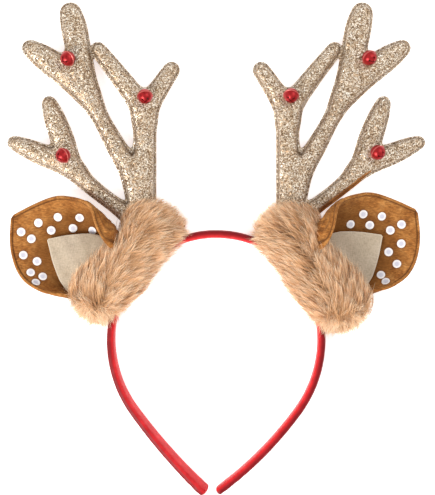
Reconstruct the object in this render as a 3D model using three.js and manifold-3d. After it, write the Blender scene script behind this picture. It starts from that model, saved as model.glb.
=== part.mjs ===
// Reindeer antler headband, lying on its back on a flat surface.
// A satin-covered band carries two padded glitter antlers with small jingle bells,
// two cupped velour ears with a felt patch each, and a fur puff that hides each root.
// Millimetres. +X is to the right as seen from the front, +Y runs from the band's tips to
// the antlers, +Z is up from the surface and towards the front of the headband. Left and
// right in names are as seen from the front.

import * as THREE from "three";
import { mergeVertices } from "three/addons/utils/BufferGeometryUtils.js";
import Module from "manifold-3d";

const wasm = await Module();
wasm.setup();

// Driving dimensions

const clearance = 0.3; // gap between neighbouring pieces
const smallestDetail = 0.03; // slivers under this are taken out after a cut or join

// Band: a half-circle crown and two legs that curve in to the tips
const bandRadius = 58.8; // the crown's centre line
const bandDrop = 84.2; // from the crown's centre down to the tips
const bandThickness = 4.5;
const bandDepth = 10; // front to back
const bandLift = 1.6; // the band's back edge above the surface
const bandSquareness = 0.62; // 1 would be an ellipse, 0 a box
const bandTwist = -22; // degrees that the left leg has turned at its tip, so that its inner face shows
const templeRadius = 68; // the tighter upper stretch of each leg
const templeSweep = 36; // degrees
const tipGap = 1.7; // between the two tips
const tipShift = 2.6; // how far the tips meet off the crown's axis, to the left
const tipRounding = 2; // length over which a tip is rounded off
const tipSlant = 0.8; // where a tip's centre line ends off the gap, as a share of the thickness

// Antlers: padded flat shapes, sewn round the edge
const antlerAngle = 42.8; // degrees from the crown's top to the antler's root
const antlerHeight = 146.2; // root to topmost tine, along Y
const antlerSpread = 77.4; // root to outermost tine, along X
const trunkWidth = 16.2;
const trunkThickness = 11;

// Bells
const bellDiameter = 8;
const bellWall = 0.7;
const bellSlot = 0.9;
const bellSlotHeight = 0.72; // middle of the slots' cutter, as a share of the radius
const bellSeat = 1.2; // how deep a bell sits in the padding
const bellShank = 1.6; // diameter of the stub that is sewn in

// Ears: one sheet of doubled velour each, cupped along its axis
const earAngle = 61; // degrees from the crown's top to the ear's root
const earLength = 75;
const earHalfWidth = 28.5; // as seen from the front
const earWall = 1.8;
const earRootDrop = 1; // the root's middle below the band's
const earHeight = 2.2; // middle of the sheet above the surface, where it lies

// Felt patch that stands inside each ear
const patchStart = 10.7; // along the ear's axis
const patchLength = 40;
const patchHalfWidth = 18;
const patchWall = 1.2;
const patchStand = 2.2; // above the ear's inside face
const patchRise = 6; // how much further its hidden end stands up
const patchSag = 0.08; // droop of its edges, as a share of the half width

// Fur puffs, wrapped round the band
const furLength = 80; // along the puff's middle line
const furInside = 10; // past the band's centre line, towards the head
const furHeight = 28;
const furMiddleShare = 0.44; // of its height, where the puff is widest
const lockLength = 9;
const lockWidth = 9;
const lockRise = 0.5; // how steeply a lock stands off the skin
const lockRows = 7; // along a puff
const lockLines = 4; // round a puff
const lockSpan = 0.88; // share of the puff's half length that carries locks
const lockStagger = 0.25; // of one line, to either side in turn

// What differs between the two sides of this hand-made piece
const sides = [
  { name: "left", sign: -1, earRise: 32.3, furMiddle: 49.2, furOutside: 24.5, twist: bandTwist },
  { name: "right", sign: 1, earRise: 35.4, furMiddle: 54.4, furOutside: 28, twist: 0 },
];

// Tables of sections, as shares of the sizes above

// Each tine: out is a share of antlerSpread, up of antlerHeight and wide of trunkWidth
const tines = {
  trunk: [
    { out: 0.0, up: 0.0, wide: 0.98 },
    { out: 0.022, up: 0.142, wide: 1.03 },
    { out: 0.022, up: 0.268, wide: 1.0 },
    { out: 0.004, up: 0.391, wide: 0.83 },
    { out: 0.0, up: 0.506, wide: 0.79 },
  ],
  innerFork: [
    { out: 0.0, up: 0.487, wide: 0.76 },
    { out: 0.004, up: 0.575, wide: 0.97 },
    { out: 0.011, up: 0.63, wide: 0.69 },
  ],
  innerForkOuterTine: [
    { out: 0.0, up: 0.529, wide: 0.76 },
    { out: 0.051, up: 0.613, wide: 0.76 },
    { out: 0.181, up: 0.709, wide: 0.67 },
    { out: 0.34, up: 0.814, wide: 0.56 },
  ],
  innerForkInnerTine: [
    { out: 0.0, up: 0.529, wide: 0.76 },
    { out: -0.036, up: 0.605, wide: 0.76 },
    { out: -0.123, up: 0.682, wide: 0.66 },
    { out: -0.192, up: 0.736, wide: 0.6 },
  ],
  upperStem: [
    { out: 0.036, up: 0.218, wide: 0.9 },
    { out: 0.108, up: 0.345, wide: 0.76 },
    { out: 0.21, up: 0.444, wide: 0.69 },
    { out: 0.304, up: 0.536, wide: 0.6 },
    { out: 0.376, up: 0.605, wide: 0.69 },
  ],
  upperFork: [
    { out: 0.354, up: 0.59, wide: 0.66 },
    { out: 0.448, up: 0.682, wide: 0.97 },
    { out: 0.542, up: 0.77, wide: 0.76 },
  ],
  upperForkOuterTine: [
    { out: 0.39, up: 0.613, wide: 0.69 },
    { out: 0.535, up: 0.705, wide: 0.93 },
    { out: 0.716, up: 0.778, wide: 0.86 },
    { out: 0.832, up: 0.82, wide: 0.59 },
  ],
  upperForkInnerTine: [
    { out: 0.362, up: 0.598, wide: 0.69 },
    { out: 0.427, up: 0.697, wide: 0.76 },
    { out: 0.477, up: 0.805, wide: 0.86 },
    { out: 0.513, up: 0.897, wide: 0.9 },
    { out: 0.539, up: 0.954, wide: 0.76 },
  ],
  lowerStem: [
    { out: 0.0, up: 0.13, wide: 0.83 },
    { out: 0.188, up: 0.207, wide: 0.59 },
    { out: 0.34, up: 0.268, wide: 0.57 },
    { out: 0.477, up: 0.33, wide: 0.64 },
  ],
  lowerFork: [
    { out: 0.419, up: 0.303, wide: 0.55 },
    { out: 0.521, up: 0.364, wide: 0.76 },
    { out: 0.615, up: 0.416, wide: 0.59 },
  ],
  lowerForkOuterTine: [
    { out: 0.448, up: 0.318, wide: 0.55 },
    { out: 0.593, up: 0.375, wide: 0.72 },
    { out: 0.766, up: 0.416, wide: 0.74 },
    { out: 0.882, up: 0.443, wide: 0.62 },
    { out: 0.951, up: 0.458, wide: 0.47 },
  ],
  lowerForkInnerTine: [
    { out: 0.434, up: 0.31, wide: 0.55 },
    { out: 0.528, up: 0.383, wide: 0.66 },
    { out: 0.6, up: 0.475, wide: 0.81 },
    { out: 0.658, up: 0.556, wide: 0.72 },
    { out: 0.694, up: 0.609, wide: 0.52 },
  ],
};

// Where the bells are sewn on, in the same shares, and the fork each one sits on
const bells = [
  { side: "left", name: "inner", out: -0.006, up: 0.628 },
  { side: "left", name: "upper", out: 0.546, up: 0.771 },
  { side: "left", name: "lower", out: 0.579, up: 0.404 },
  { side: "right", name: "inner", out: 0.02, up: 0.631 },
  { side: "right", name: "upper", out: 0.579, up: 0.774 },
  { side: "right", name: "lower", out: 0.64, up: 0.416 },
];

// Where an end is rounded off: the angles round it that get a ring of points
const tipLeans = [35, 65, 85];
const tineRootLeans = [60];
const tineTipLeans = [42, 78];

// The ear from root to apex: along is a share of earLength, upper and lower are the seen
// half widths as shares of earHalfWidth, and the curls are degrees turned at each edge
const earSections = [
  { along: 0.0, upper: 0.2, lower: 0.28, upperCurl: 100, lowerCurl: 90, height: 1.0 },
  { along: 0.13, upper: 0.5, lower: 0.5, upperCurl: 145, lowerCurl: 120, height: 0.8 },
  { along: 0.27, upper: 0.87, lower: 0.74, upperCurl: 190, lowerCurl: 150, height: 0.3 },
  { along: 0.4, upper: 0.97, lower: 0.86, upperCurl: 165, lowerCurl: 120, height: 0.1 },
  { along: 0.54, upper: 1.03, lower: 0.95, upperCurl: 105, lowerCurl: 80, height: 0.0 },
  { along: 0.68, upper: 0.96, lower: 0.91, upperCurl: 65, lowerCurl: 50, height: 0.0 },
  { along: 0.81, upper: 0.77, lower: 0.73, upperCurl: 40, lowerCurl: 30, height: 0.02 },
  { along: 0.92, upper: 0.4, lower: 0.42, upperCurl: 20, lowerCurl: 16, height: 0.08 },
  { along: 1.0, upper: 0.05, lower: 0.06, upperCurl: 8, lowerCurl: 8, height: 0.14 },
];

// The patch from its hidden end to its corner: along is a share of patchLength
const patchSections = [
  { along: 0.0, wide: 0.55, height: 1.0 },
  { along: 0.28, wide: 0.98, height: 0.72 },
  { along: 0.55, wide: 0.86, height: 0.42 },
  { along: 0.8, wide: 0.45, height: 0.16 },
  { along: 0.92, wide: 0.2, height: 0.05 },
  { along: 1.0, wide: 0.03, height: 0.0 },
];

// The puff from its upper to its lower end: inside and outside are shares of the puff's
// reach either side of the band's centre line, high is a share of furHeight
const furSections = [
  { along: -1.0, inside: -0.35, outside: 0.35, high: 0.32 },
  { along: -0.9, inside: 0.1, outside: 0.75, high: 0.66 },
  { along: -0.75, inside: 0.35, outside: 1.0, high: 0.86 },
  { along: -0.5, inside: 0.65, outside: 1.1, high: 0.97 },
  { along: -0.25, inside: 0.9, outside: 0.88, high: 1.0 },
  { along: 0.0, inside: 1.0, outside: 0.83, high: 1.0 },
  { along: 0.3, inside: 0.9, outside: 0.88, high: 1.0 },
  { along: 0.58, inside: 0.6, outside: 0.98, high: 0.97 },
  { along: 0.8, inside: 0.25, outside: 0.88, high: 0.86 },
  { along: 0.92, inside: -0.05, outside: 0.68, high: 0.62 },
  { along: 1.0, inside: -0.45, outside: 0.4, high: 0.3 },
];

const radians = THREE.MathUtils.degToRad;
const bandOuterRadius = bandRadius + bandThickness / 2;
const bandMiddleHeight = bandLift + bandDepth / 2;
const antlerMiddleHeight = trunkThickness / 2;
const earRootHeight = bandMiddleHeight - earRootDrop;
const bellRadius = bellDiameter / 2;

// Solids

// Turns the faces of a closed indexed geometry outwards if they point in.
function facingOut(geometry) {
  const position = geometry.getAttribute("position");
  const index = geometry.index.array;
  const [a, b, c] = [new THREE.Vector3(), new THREE.Vector3(), new THREE.Vector3()];
  let volume = 0;
  for (let i = 0; i < index.length; i += 3) {
    a.fromBufferAttribute(position, index[i]);
    b.fromBufferAttribute(position, index[i + 1]);
    c.fromBufferAttribute(position, index[i + 2]);
    volume += a.dot(b.cross(c));
  }
  if (volume < 0) geometry.setIndex(Array.from(index).reverse());
  return geometry;
}

// A closed skin through rings of points, each ring with the same number of points.
function loft(rings) {
  const count = rings[0].length;
  const points = rings.flat();
  const faces = [];
  for (let r = 0; r + 1 < rings.length; r++) {
    for (let i = 0; i < count; i++) {
      const j = (i + 1) % count;
      const [a, b] = [r * count + i, r * count + j];
      faces.push(a, b, b + count, a, b + count, a + count);
    }
  }
  for (const [ring, turned] of [[0, true], [rings.length - 1, false]]) {
    const middle = new THREE.Vector3();
    rings[ring].forEach((p) => middle.addScaledVector(p, 1 / count));
    const hub = points.push(middle) - 1;
    for (let i = 0; i < count; i++) {
      const pair = [ring * count + i, ring * count + ((i + 1) % count)];
      if (turned) pair.reverse();
      faces.push(hub, ...pair);
    }
  }
  const geometry = new THREE.BufferGeometry().setFromPoints(points);
  geometry.setIndex(faces);
  return facingOut(geometry);
}

function solidOf(geometry) {
  const bare = geometry.clone();
  bare.deleteAttribute("normal");
  bare.deleteAttribute("uv");
  const merged = mergeVertices(bare, 1e-4);
  return new wasm.Manifold(
    new wasm.Mesh({
      numProp: 3,
      vertProperties: new Float32Array(merged.getAttribute("position").array),
      triVerts: new Uint32Array(merged.index.array),
    }),
  );
}

function geometryOf(solid) {
  const mesh = solid.getMesh();
  const geometry = new THREE.BufferGeometry();
  geometry.setAttribute("position", new THREE.BufferAttribute(mesh.vertProperties, 3));
  geometry.setIndex(new THREE.BufferAttribute(mesh.triVerts, 1));
  return geometry;
}

const joined = (solids) => solids.reduce((whole, next) => whole.add(next));

// The biggest piece that a cut leaves, without the scraps and slivers.
function biggest(solid) {
  const whole = solid.decompose().reduce((a, b) => (b.volume() > a.volume() ? b : a));
  return whole.simplify(smallestDetail);
}

// The value of each named column at a share of the way through a table of sections.
function between(rows, column, share, key = "along") {
  const last = rows.findIndex((row) => row[key] >= share);
  if (last <= 0) return last < 0 ? rows[rows.length - 1][column] : rows[0][column];
  const [a, b] = [rows[last - 1], rows[last]];
  return THREE.MathUtils.lerp(a[column], b[column], (share - a[key]) / (b[key] - a[key]));
}

// Band

// The centre line of one leg, from the crown's top to the tip, for x positive.
// Each station has its place, the angle that the line has turned and its share of the way.
function bandCourse(side) {
  const stations = [];
  const arc = (cx, cy, radius, from, to, steps) => {
    for (let i = 1; i <= steps; i++) {
      const turn = THREE.MathUtils.lerp(from, to, i / steps);
      stations.push({ x: cx + radius * Math.sin(turn), y: cy + radius * Math.cos(turn), turn });
    }
    return stations[stations.length - 1];
  };
  const quarter = Math.PI / 2;
  arc(0, 0, bandRadius, 0, quarter, 11);
  const temple = quarter + radians(templeSweep);
  const knee = arc(bandRadius - templeRadius, 0, templeRadius, quarter, temple, 4);
  // The last arc leaves the temple smoothly and ends at the tip
  const tip = { x: tipGap / 2 + bandThickness * tipSlant - side.sign * tipShift, y: -bandDrop };
  const [dx, dy] = [tip.x - knee.x, tip.y - knee.y];
  const inward = { x: -Math.sin(temple), y: -Math.cos(temple) };
  const radius = (dx * dx + dy * dy) / (2 * (dx * inward.x + dy * inward.y));
  const centre = { x: knee.x + radius * inward.x, y: knee.y + radius * inward.y };
  const end = Math.atan2((tip.x - centre.x) / radius, (tip.y - centre.y) / radius);
  const endTurn = radius < 0 ? end + Math.PI : end;
  arc(centre.x, centre.y, radius, temple, endTurn < 0 ? endTurn + 2 * Math.PI : endTurn, 5);
  return stations;
}

// One ring of the band's rounded section.
function bandRing(station, sign, twist, scale, grow) {
  const sidePoints = 12;
  const ring = [];
  for (let i = 0; i < sidePoints; i++) {
    const angle = (i / sidePoints) * 2 * Math.PI;
    const [c, s] = [Math.cos(angle), Math.sin(angle)];
    const out = Math.sign(c) * Math.abs(c) ** bandSquareness * (bandThickness / 2 + grow) * scale;
    const up = Math.sign(s) * Math.abs(s) ** bandSquareness * (bandDepth / 2 + grow) * scale;
    const across = out * Math.cos(twist) - up * Math.sin(twist);
    const high = out * Math.sin(twist) + up * Math.cos(twist);
    ring.push(
      new THREE.Vector3(
        sign * (station.x + across * Math.sin(station.turn)),
        station.y + across * Math.cos(station.turn),
        bandMiddleHeight + high,
      ),
    );
  }
  return ring;
}

// The rings of one leg, with its tip rounded off.
function bandLeg(side, grow) {
  const course = bandCourse(side);
  const rings = course.map((station, i) => {
    const past = Math.max(0, (i + 1) / course.length - 0.5) * 2;
    return bandRing(station, side.sign, radians(side.twist) * past, 1, grow);
  });
  const tip = course[course.length - 1];
  for (const lean of tipLeans) {
    const forward = tipRounding * Math.sin(radians(lean));
    const beyond = {
      x: tip.x + forward * Math.cos(tip.turn),
      y: tip.y - forward * Math.sin(tip.turn),
      turn: tip.turn,
    };
    const scale = Math.cos(radians(lean));
    rings.push(bandRing(beyond, side.sign, radians(side.twist), scale, grow));
  }
  return rings;
}

function band(grow = 0) {
  const [left, right] = sides.map((side) => bandLeg(side, grow));
  const top = bandRing({ x: 0, y: bandRadius, turn: 0 }, 1, 0, 1, grow);
  return loft([...left.reverse(), top, ...right]);
}

// The round space inside the crown, as far as the band's outer face and a gap.
function headSpace(gap) {
  const radius = bandOuterRadius + gap;
  const cutter = new THREE.CylinderGeometry(radius, radius, 4 * furHeight, 96);
  return solidOf(cutter.rotateX(Math.PI / 2));
}

// The point of the band's centre line at an angle from the crown's top.
const onCrown = (degrees) => ({
  x: bandRadius * Math.sin(radians(degrees)),
  y: bandRadius * Math.cos(radians(degrees)),
});

// Antlers

const paddingAt = (width) => trunkThickness * Math.sqrt(Math.min(1, width / trunkWidth));

// A place on the antler, from its shares.
function onAntler({ out, up }) {
  const root = onCrown(antlerAngle);
  return { x: root.x + out * antlerSpread, y: root.y + up * antlerHeight };
}

function tineRing(x, y, direction, width, scale, grow) {
  const count = 8;
  const ring = [];
  const half = (width / 2) * scale + grow;
  const thick = (paddingAt(width) / 2) * scale + grow;
  for (let i = 0; i < count; i++) {
    const angle = (i / count) * 2 * Math.PI;
    const across = half * Math.cos(angle);
    ring.push(
      new THREE.Vector3(
        x + across * direction.y,
        y - across * direction.x,
        antlerMiddleHeight + thick * Math.sin(angle),
      ),
    );
  }
  return ring;
}

// One tine: a flat padded finger through its stations, round at both ends.
function tine(stations, grow) {
  // The third coordinate carries the width
  const course = new THREE.CatmullRomCurve3(
    stations.map((s) => new THREE.Vector3(onAntler(s).x, onAntler(s).y, s.wide * trunkWidth)),
  );
  const steps = stations.length;
  const rings = [];
  // A ring at a share of the course, or past its end where the end is rounded off
  const addRing = (share, lean, sense) => {
    const p = course.getPoint(share);
    const along = course.getTangent(share).setZ(0).normalize();
    const angle = radians(lean);
    const reach = sense * ((p.z / 2) * Math.sin(angle) + (lean > 0 ? grow : 0));
    rings.push(
      tineRing(p.x + along.x * reach, p.y + along.y * reach, along, p.z, Math.cos(angle), grow),
    );
  };
  tineRootLeans.forEach((lean) => addRing(0, lean, -1));
  for (let i = 0; i <= steps; i++) addRing(i / steps, 0, 1);
  tineTipLeans.forEach((lean) => addRing(1, lean, 1));
  return solidOf(loft(rings));
}

// The named tines in one piece, without bell seats.
function antlerBody(names, grow) {
  return joined(names.map((name) => tine(tines[name], grow)));
}

// The tines that pass through the fur and beside the ear, with their gap.
const antlerRoot = () => antlerBody(["trunk", "lowerStem", "upperStem"], clearance);

// How high a bell's middle sits.
const bellHeight = antlerMiddleHeight + trunkThickness / 2 + bellRadius - bellSeat;

function ballAt(place, radius, around, down) {
  const ball = new THREE.SphereGeometry(radius, around, down).rotateX(Math.PI / 2);
  return solidOf(ball.translate(place.x, place.y, bellHeight));
}

function shankAt(place, diameter, reach) {
  const length = bellRadius + reach;
  const stub = new THREE.CylinderGeometry(diameter / 2, diameter / 2, length, 6).rotateX(Math.PI / 2);
  return solidOf(stub.translate(place.x, place.y, bellHeight - length / 2));
}

function antler(side) {
  const seats = bells.filter((bell) => bell.side === side.name).map(onAntler);
  const cuts = seats.map((place) =>
    ballAt(place, bellRadius + clearance, 8, 4).add(
      shankAt(place, bellShank + 2 * clearance, bellSeat + clearance),
    ),
  );
  return biggest(antlerBody(Object.keys(tines), 0).subtract(joined([headSpace(clearance), ...cuts])));
}

// A hollow jingle bell with crossed slots in front and the stub that is sewn in behind.
function bell(place) {
  const slots = [0, Math.PI / 2].map((turn) => {
    const slot = new THREE.BoxGeometry(bellDiameter, bellSlot, bellRadius);
    slot.rotateZ(turn + Math.PI / 4);
    return solidOf(slot.translate(place.x, place.y, bellHeight + bellRadius * bellSlotHeight));
  });
  const inside = ballAt(place, bellRadius - bellWall, 6, 3);
  const stub = shankAt(place, bellShank, bellSeat);
  const shell = ballAt(place, bellRadius, 10, 6).add(stub);
  return biggest(shell.subtract(joined([inside, ...slots])));
}

// Ears

// A turning sheet seen edge on: how far across and how high it has come at each station.
// It is flat at the ear's axis and bends more and more towards the edge.
function curledEdge(curl) {
  const stations = [0.3, 0.5, 0.65, 0.77, 0.86, 0.93, 1];
  const fine = 120;
  const path = [{ across: 0, high: 0, slope: 0 }];
  const end = { across: 0, high: 0 };
  let widest = 0;
  for (let i = 1; i <= fine; i++) {
    const slope = radians(curl) * ((i - 0.5) / fine) ** 3;
    end.across += Math.cos(slope) / fine;
    end.high += Math.sin(slope) / fine;
    widest = Math.max(widest, end.across);
    if (i / fine < stations[path.length - 1] - 1e-6) continue;
    path.push({ ...end, slope: radians(curl) * (i / fine) ** 3 });
  }
  return path.map((p) => ({ across: p.across / widest, high: p.high / widest, slope: p.slope }));
}

// The ear's axes on one side: its root, the way to its apex and the way across it.
function earFrame(side) {
  const root = onCrown(earAngle);
  const rise = radians(side.earRise);
  return {
    root,
    along: { x: Math.cos(rise), y: Math.sin(rise) },
    across: { x: -Math.sin(rise), y: Math.cos(rise) },
  };
}

function placed(frame, along, across, high) {
  return new THREE.Vector3(
    frame.root.x + along * frame.along.x + across * frame.across.x,
    frame.root.y + along * frame.along.y + across * frame.across.y,
    high,
  );
}

// Height of the ear's middle sheet on its axis.
function earFloor(along) {
  const share = between(earSections, "height", along / earLength);
  return THREE.MathUtils.lerp(earHeight, earRootHeight, share);
}

// The edges of half a section, from the axis outwards. A grown copy reaches further out.
function earHalf(seen, curl, sense, grow) {
  const path = curledEdge(curl).map((p) => ({
    across: sense * p.across * seen,
    high: p.high * seen,
    slope: sense * p.slope,
  }));
  const edge = path[path.length - 1];
  edge.across += sense * grow * Math.cos(edge.slope);
  edge.high += sense * grow * Math.sin(edge.slope);
  return path;
}

function earRing(frame, row, grow) {
  const halfWall = earWall / 2 + grow;
  const inner = [];
  const outer = [];
  const lower = earHalf(row.lower * earHalfWidth, row.lowerCurl, -1, grow);
  const upper = earHalf(row.upper * earHalfWidth, row.upperCurl, 1, grow);
  const sheet = [...lower.slice(1).reverse(), ...upper];
  const along = row.along * earLength + (row.along === 1 ? grow : 0);
  for (const p of sheet) {
    const [nx, nz] = [-Math.sin(p.slope) * halfWall, Math.cos(p.slope) * halfWall];
    const high = earFloor(row.along * earLength) + p.high;
    inner.push(placed(frame, along, p.across + nx, high + nz));
    outer.push(placed(frame, along, p.across - nx, high - nz));
  }
  return [...inner, ...outer.reverse()];
}

function earBody(side, grow) {
  const frame = earFrame(side);
  return solidOf(loft(earSections.map((row) => earRing(frame, row, grow))));
}

function ear(side) {
  return biggest(earBody(side, 0).subtract(headSpace(clearance)).subtract(antlerRoot()));
}

// Patches

function patchRing(frame, row, grow) {
  const half = row.wide * patchHalfWidth + grow;
  const along = patchStart + row.along * patchLength + (row.along === 1 ? grow : 0);
  const above = earWall / 2 + patchStand + patchWall / 2 + row.height * patchRise;
  const middle = earFloor(along) + above;
  const halfWall = patchWall / 2 + grow;
  const steps = [-1, -0.5, 0, 0.5, 1];
  const sag = (s) => patchSag * half * s * s;
  const top = steps.map((s) => placed(frame, along, s * half, middle + halfWall - sag(s)));
  const bottom = steps.map((s) => placed(frame, along, s * half, middle - halfWall - sag(s)));
  return [...top, ...bottom.reverse()];
}

function patchBody(side, grow) {
  const frame = earFrame(side);
  return solidOf(loft(patchSections.map((row) => patchRing(frame, row, grow))));
}

function patch(side) {
  const cuts = joined([earBody(side, clearance), headSpace(clearance), antlerRoot()]);
  return biggest(patchBody(side, 0).subtract(cuts));
}

// Fur

// The puff's frame at a share of its length: its angle on the band and its two edges.
function furAt(side, share) {
  const reach = bandRadius + (side.furOutside - furInside) / 2;
  const angle = radians(side.furMiddle) + (share * furLength) / 2 / reach;
  const inside = bandRadius - between(furSections, "inside", share) * furInside;
  const outside = bandRadius + between(furSections, "outside", share) * side.furOutside;
  const high = between(furSections, "high", share) * furHeight;
  return { angle, middle: (inside + outside) / 2, half: (outside - inside) / 2, high };
}

// A point of the puff's skin: round is the angle about its middle line, 0 at the outside.
function furSkin(side, share, round, out = 0) {
  const { angle, middle, half, high } = furAt(side, share);
  const radius = middle + (half + out) * Math.cos(round);
  const lift = high * furMiddleShare + (high * (1 - furMiddleShare) + out) * Math.sin(round);
  return new THREE.Vector3(radius * Math.sin(angle), radius * Math.cos(angle), Math.max(lift, 0));
}

// A pointed lock of fur that lies back along the puff's skin.
function lock(side, share, round) {
  const skin = furSkin(side, share, round);
  const out = furSkin(side, share, round, 1).sub(skin).normalize();
  const ahead = furSkin(side, share, round - Math.sign(Math.cos(round)) * 0.2);
  const sweep = ahead.sub(skin).normalize();
  const lie = out.clone().multiplyScalar(lockRise).addScaledVector(sweep, 1).normalize();
  const upright = new THREE.Vector3(0, 1, 0);
  const cone = new THREE.ConeGeometry(lockWidth / 2, lockLength, 3).translate(0, lockLength / 4, 0);
  cone.applyQuaternion(new THREE.Quaternion().setFromUnitVectors(upright, lie));
  return solidOf(cone.translate(skin.x, skin.y, Math.max(skin.z, lockWidth / 2)));
}

function fur(side) {
  const around = 12;
  const rings = furSections.map((row) =>
    Array.from({ length: around }, (_, i) =>
      furSkin(side, row.along, ((i + 0.5) / around) * 2 * Math.PI),
    ),
  );
  const locks = [];
  for (let row = 0; row < lockRows; row++) {
    for (let line = 0; line < lockLines; line++) {
      const stagger = row % 2 ? lockStagger : -lockStagger;
      const share = THREE.MathUtils.lerp(-lockSpan, lockSpan, (row + 0.5) / lockRows);
      const round = Math.PI * THREE.MathUtils.lerp(-0.04, 1.04, (line + 0.5 + stagger) / lockLines);
      locks.push(lock(side, share, round));
    }
  }
  const whole = solidOf(band(clearance));
  const tunnel = side.sign < 0 ? whole.mirror([1, 0, 0]) : whole;
  const roots = [antlerRoot(), earBody(side, clearance), patchBody(side, clearance)];
  const pockets = joined(roots).subtract(headSpace(0));
  return biggest(joined([solidOf(loft(rings)), ...locks]).subtract(tunnel.add(pockets)));
}

// Assembly

const satin = () => new THREE.MeshStandardMaterial({ color: 0xc8141c, roughness: 0.35 });
const glitter = () =>
  new THREE.MeshStandardMaterial({ color: 0xc9ad84, roughness: 0.45, metalness: 0.5 });
const redMetal = () =>
  new THREE.MeshStandardMaterial({ color: 0xb3161a, roughness: 0.2, metalness: 0.9 });
const velour = () => new THREE.MeshStandardMaterial({ color: 0xa86a2c, roughness: 0.9 });
const felt = () => new THREE.MeshStandardMaterial({ color: 0xcdbb9d, roughness: 0.95 });
const pile = () => new THREE.MeshStandardMaterial({ color: 0xc79a70, roughness: 1 });

function piece(name, geometry, material) {
  const mesh = new THREE.Mesh(geometry, material);
  mesh.name = name;
  return mesh;
}

const headband = new THREE.Group();
headband.add(piece("headband", band(), satin()));
for (const side of sides) {
  // Each half is made for x positive and the left one is mirrored
  const half = new THREE.Group();
  half.scale.x = side.sign;
  half.add(piece(`antler_${side.name}`, geometryOf(antler(side)), glitter()));
  for (const place of bells.filter((b) => b.side === side.name)) {
    half.add(piece(`bell_${side.name}_${place.name}`, geometryOf(bell(onAntler(place))), redMetal()));
  }
  half.add(piece(`ear_${side.name}`, geometryOf(ear(side)), velour()));
  half.add(piece(`ear_patch_${side.name}`, geometryOf(patch(side)), felt()));
  half.add(piece(`fur_${side.name}`, geometryOf(fur(side)), pile()));
  headband.add(half);
}

// The origin is the middle of the object's footprint, on the surface
headband.updateMatrixWorld(true);
const box = new THREE.Box3().setFromObject(headband, true);
const centre = box.getCenter(new THREE.Vector3());
headband.position.set(-centre.x, -centre.y, -box.min.z);

export default headband;
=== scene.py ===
"""Looks of a reindeer antler headband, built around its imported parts.

The headband lies on its back. Sizes here are in millimetres about the middle of the band's
crown, as the parts were drawn, and go to metres where a mesh is made. Left and right are as
seen from the front.
"""

import math

import bmesh
import bpy
import numpy as np
from mathutils import Matrix, Vector


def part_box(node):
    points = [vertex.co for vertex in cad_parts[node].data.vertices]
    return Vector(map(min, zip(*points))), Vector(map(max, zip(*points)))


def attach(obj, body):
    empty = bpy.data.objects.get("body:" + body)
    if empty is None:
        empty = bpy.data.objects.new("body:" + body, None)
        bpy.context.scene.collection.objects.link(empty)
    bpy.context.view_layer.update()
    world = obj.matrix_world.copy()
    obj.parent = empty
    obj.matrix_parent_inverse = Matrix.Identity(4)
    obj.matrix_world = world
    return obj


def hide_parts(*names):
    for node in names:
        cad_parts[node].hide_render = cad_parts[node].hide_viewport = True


MM = 0.001

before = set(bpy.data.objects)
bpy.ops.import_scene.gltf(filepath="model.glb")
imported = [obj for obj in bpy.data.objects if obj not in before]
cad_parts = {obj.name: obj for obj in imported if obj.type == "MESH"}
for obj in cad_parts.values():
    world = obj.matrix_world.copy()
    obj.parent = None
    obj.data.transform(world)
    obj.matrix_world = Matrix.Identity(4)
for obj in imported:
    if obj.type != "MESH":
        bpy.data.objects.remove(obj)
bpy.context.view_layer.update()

# Sizes that the parts were made with

BAND_RADIUS = 58.8
BAND_DROP = 84.2
BAND_THICKNESS = 4.5
BAND_DEPTH = 10
BAND_LIFT = 1.6
BAND_SQUARENESS = 0.62
BAND_TWIST = -22
TEMPLE_RADIUS = 68
TEMPLE_SWEEP = 36
TIP_GAP = 1.7
TIP_SHIFT = 2.6
TIP_ROUNDING = 2
TIP_SLANT = 0.8
# Shares of the way to the tip, for its twist, where the temple's bend starts and ends
KNEE_SHARES = (0.55, 0.75)

ANTLER_ANGLE = 42.8
ANTLER_HEIGHT = 146.2
ANTLER_SPREAD = 77.4
TRUNK_WIDTH = 16.2
TRUNK_THICKNESS = 11

BELL_DIAMETER = 8

EAR_ANGLE = 61
EAR_LENGTH = 75
EAR_HALF_WIDTH = 28.5
EAR_WALL = 1.8
EAR_ROOT_DROP = 1
EAR_HEIGHT = 2.2

PATCH_START = 10.7
PATCH_LENGTH = 40
PATCH_HALF_WIDTH = 18
PATCH_WALL = 1.2
PATCH_STAND = 2.2
PATCH_RISE = 6
PATCH_SAG = 0.08

FUR_LENGTH = 80
FUR_INSIDE = 10
FUR_HEIGHT = 28
FUR_MIDDLE_SHARE = 0.44

SIDES = (
    {
        "name": "left",
        "sign": -1,
        "ear_rise": 32.3,
        "upper_curl": 2.1,
        "fur_middle": 49.2,
        "fur_outside": 24.5,
        "fur_reach": 0.6,
        "fur_long": 0.1,
        "twist": BAND_TWIST,
        "back_shows": False,
        "seed": 11,
    },
    {
        "name": "right",
        "sign": 1,
        "ear_rise": 35.4,
        "upper_curl": 1.9,
        "fur_middle": 54.4,
        "fur_outside": 28,
        "fur_reach": 3.4,
        "fur_long": 0.02,
        "twist": 0,
        "back_shows": True,
        "seed": 23,
    },
)

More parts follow.
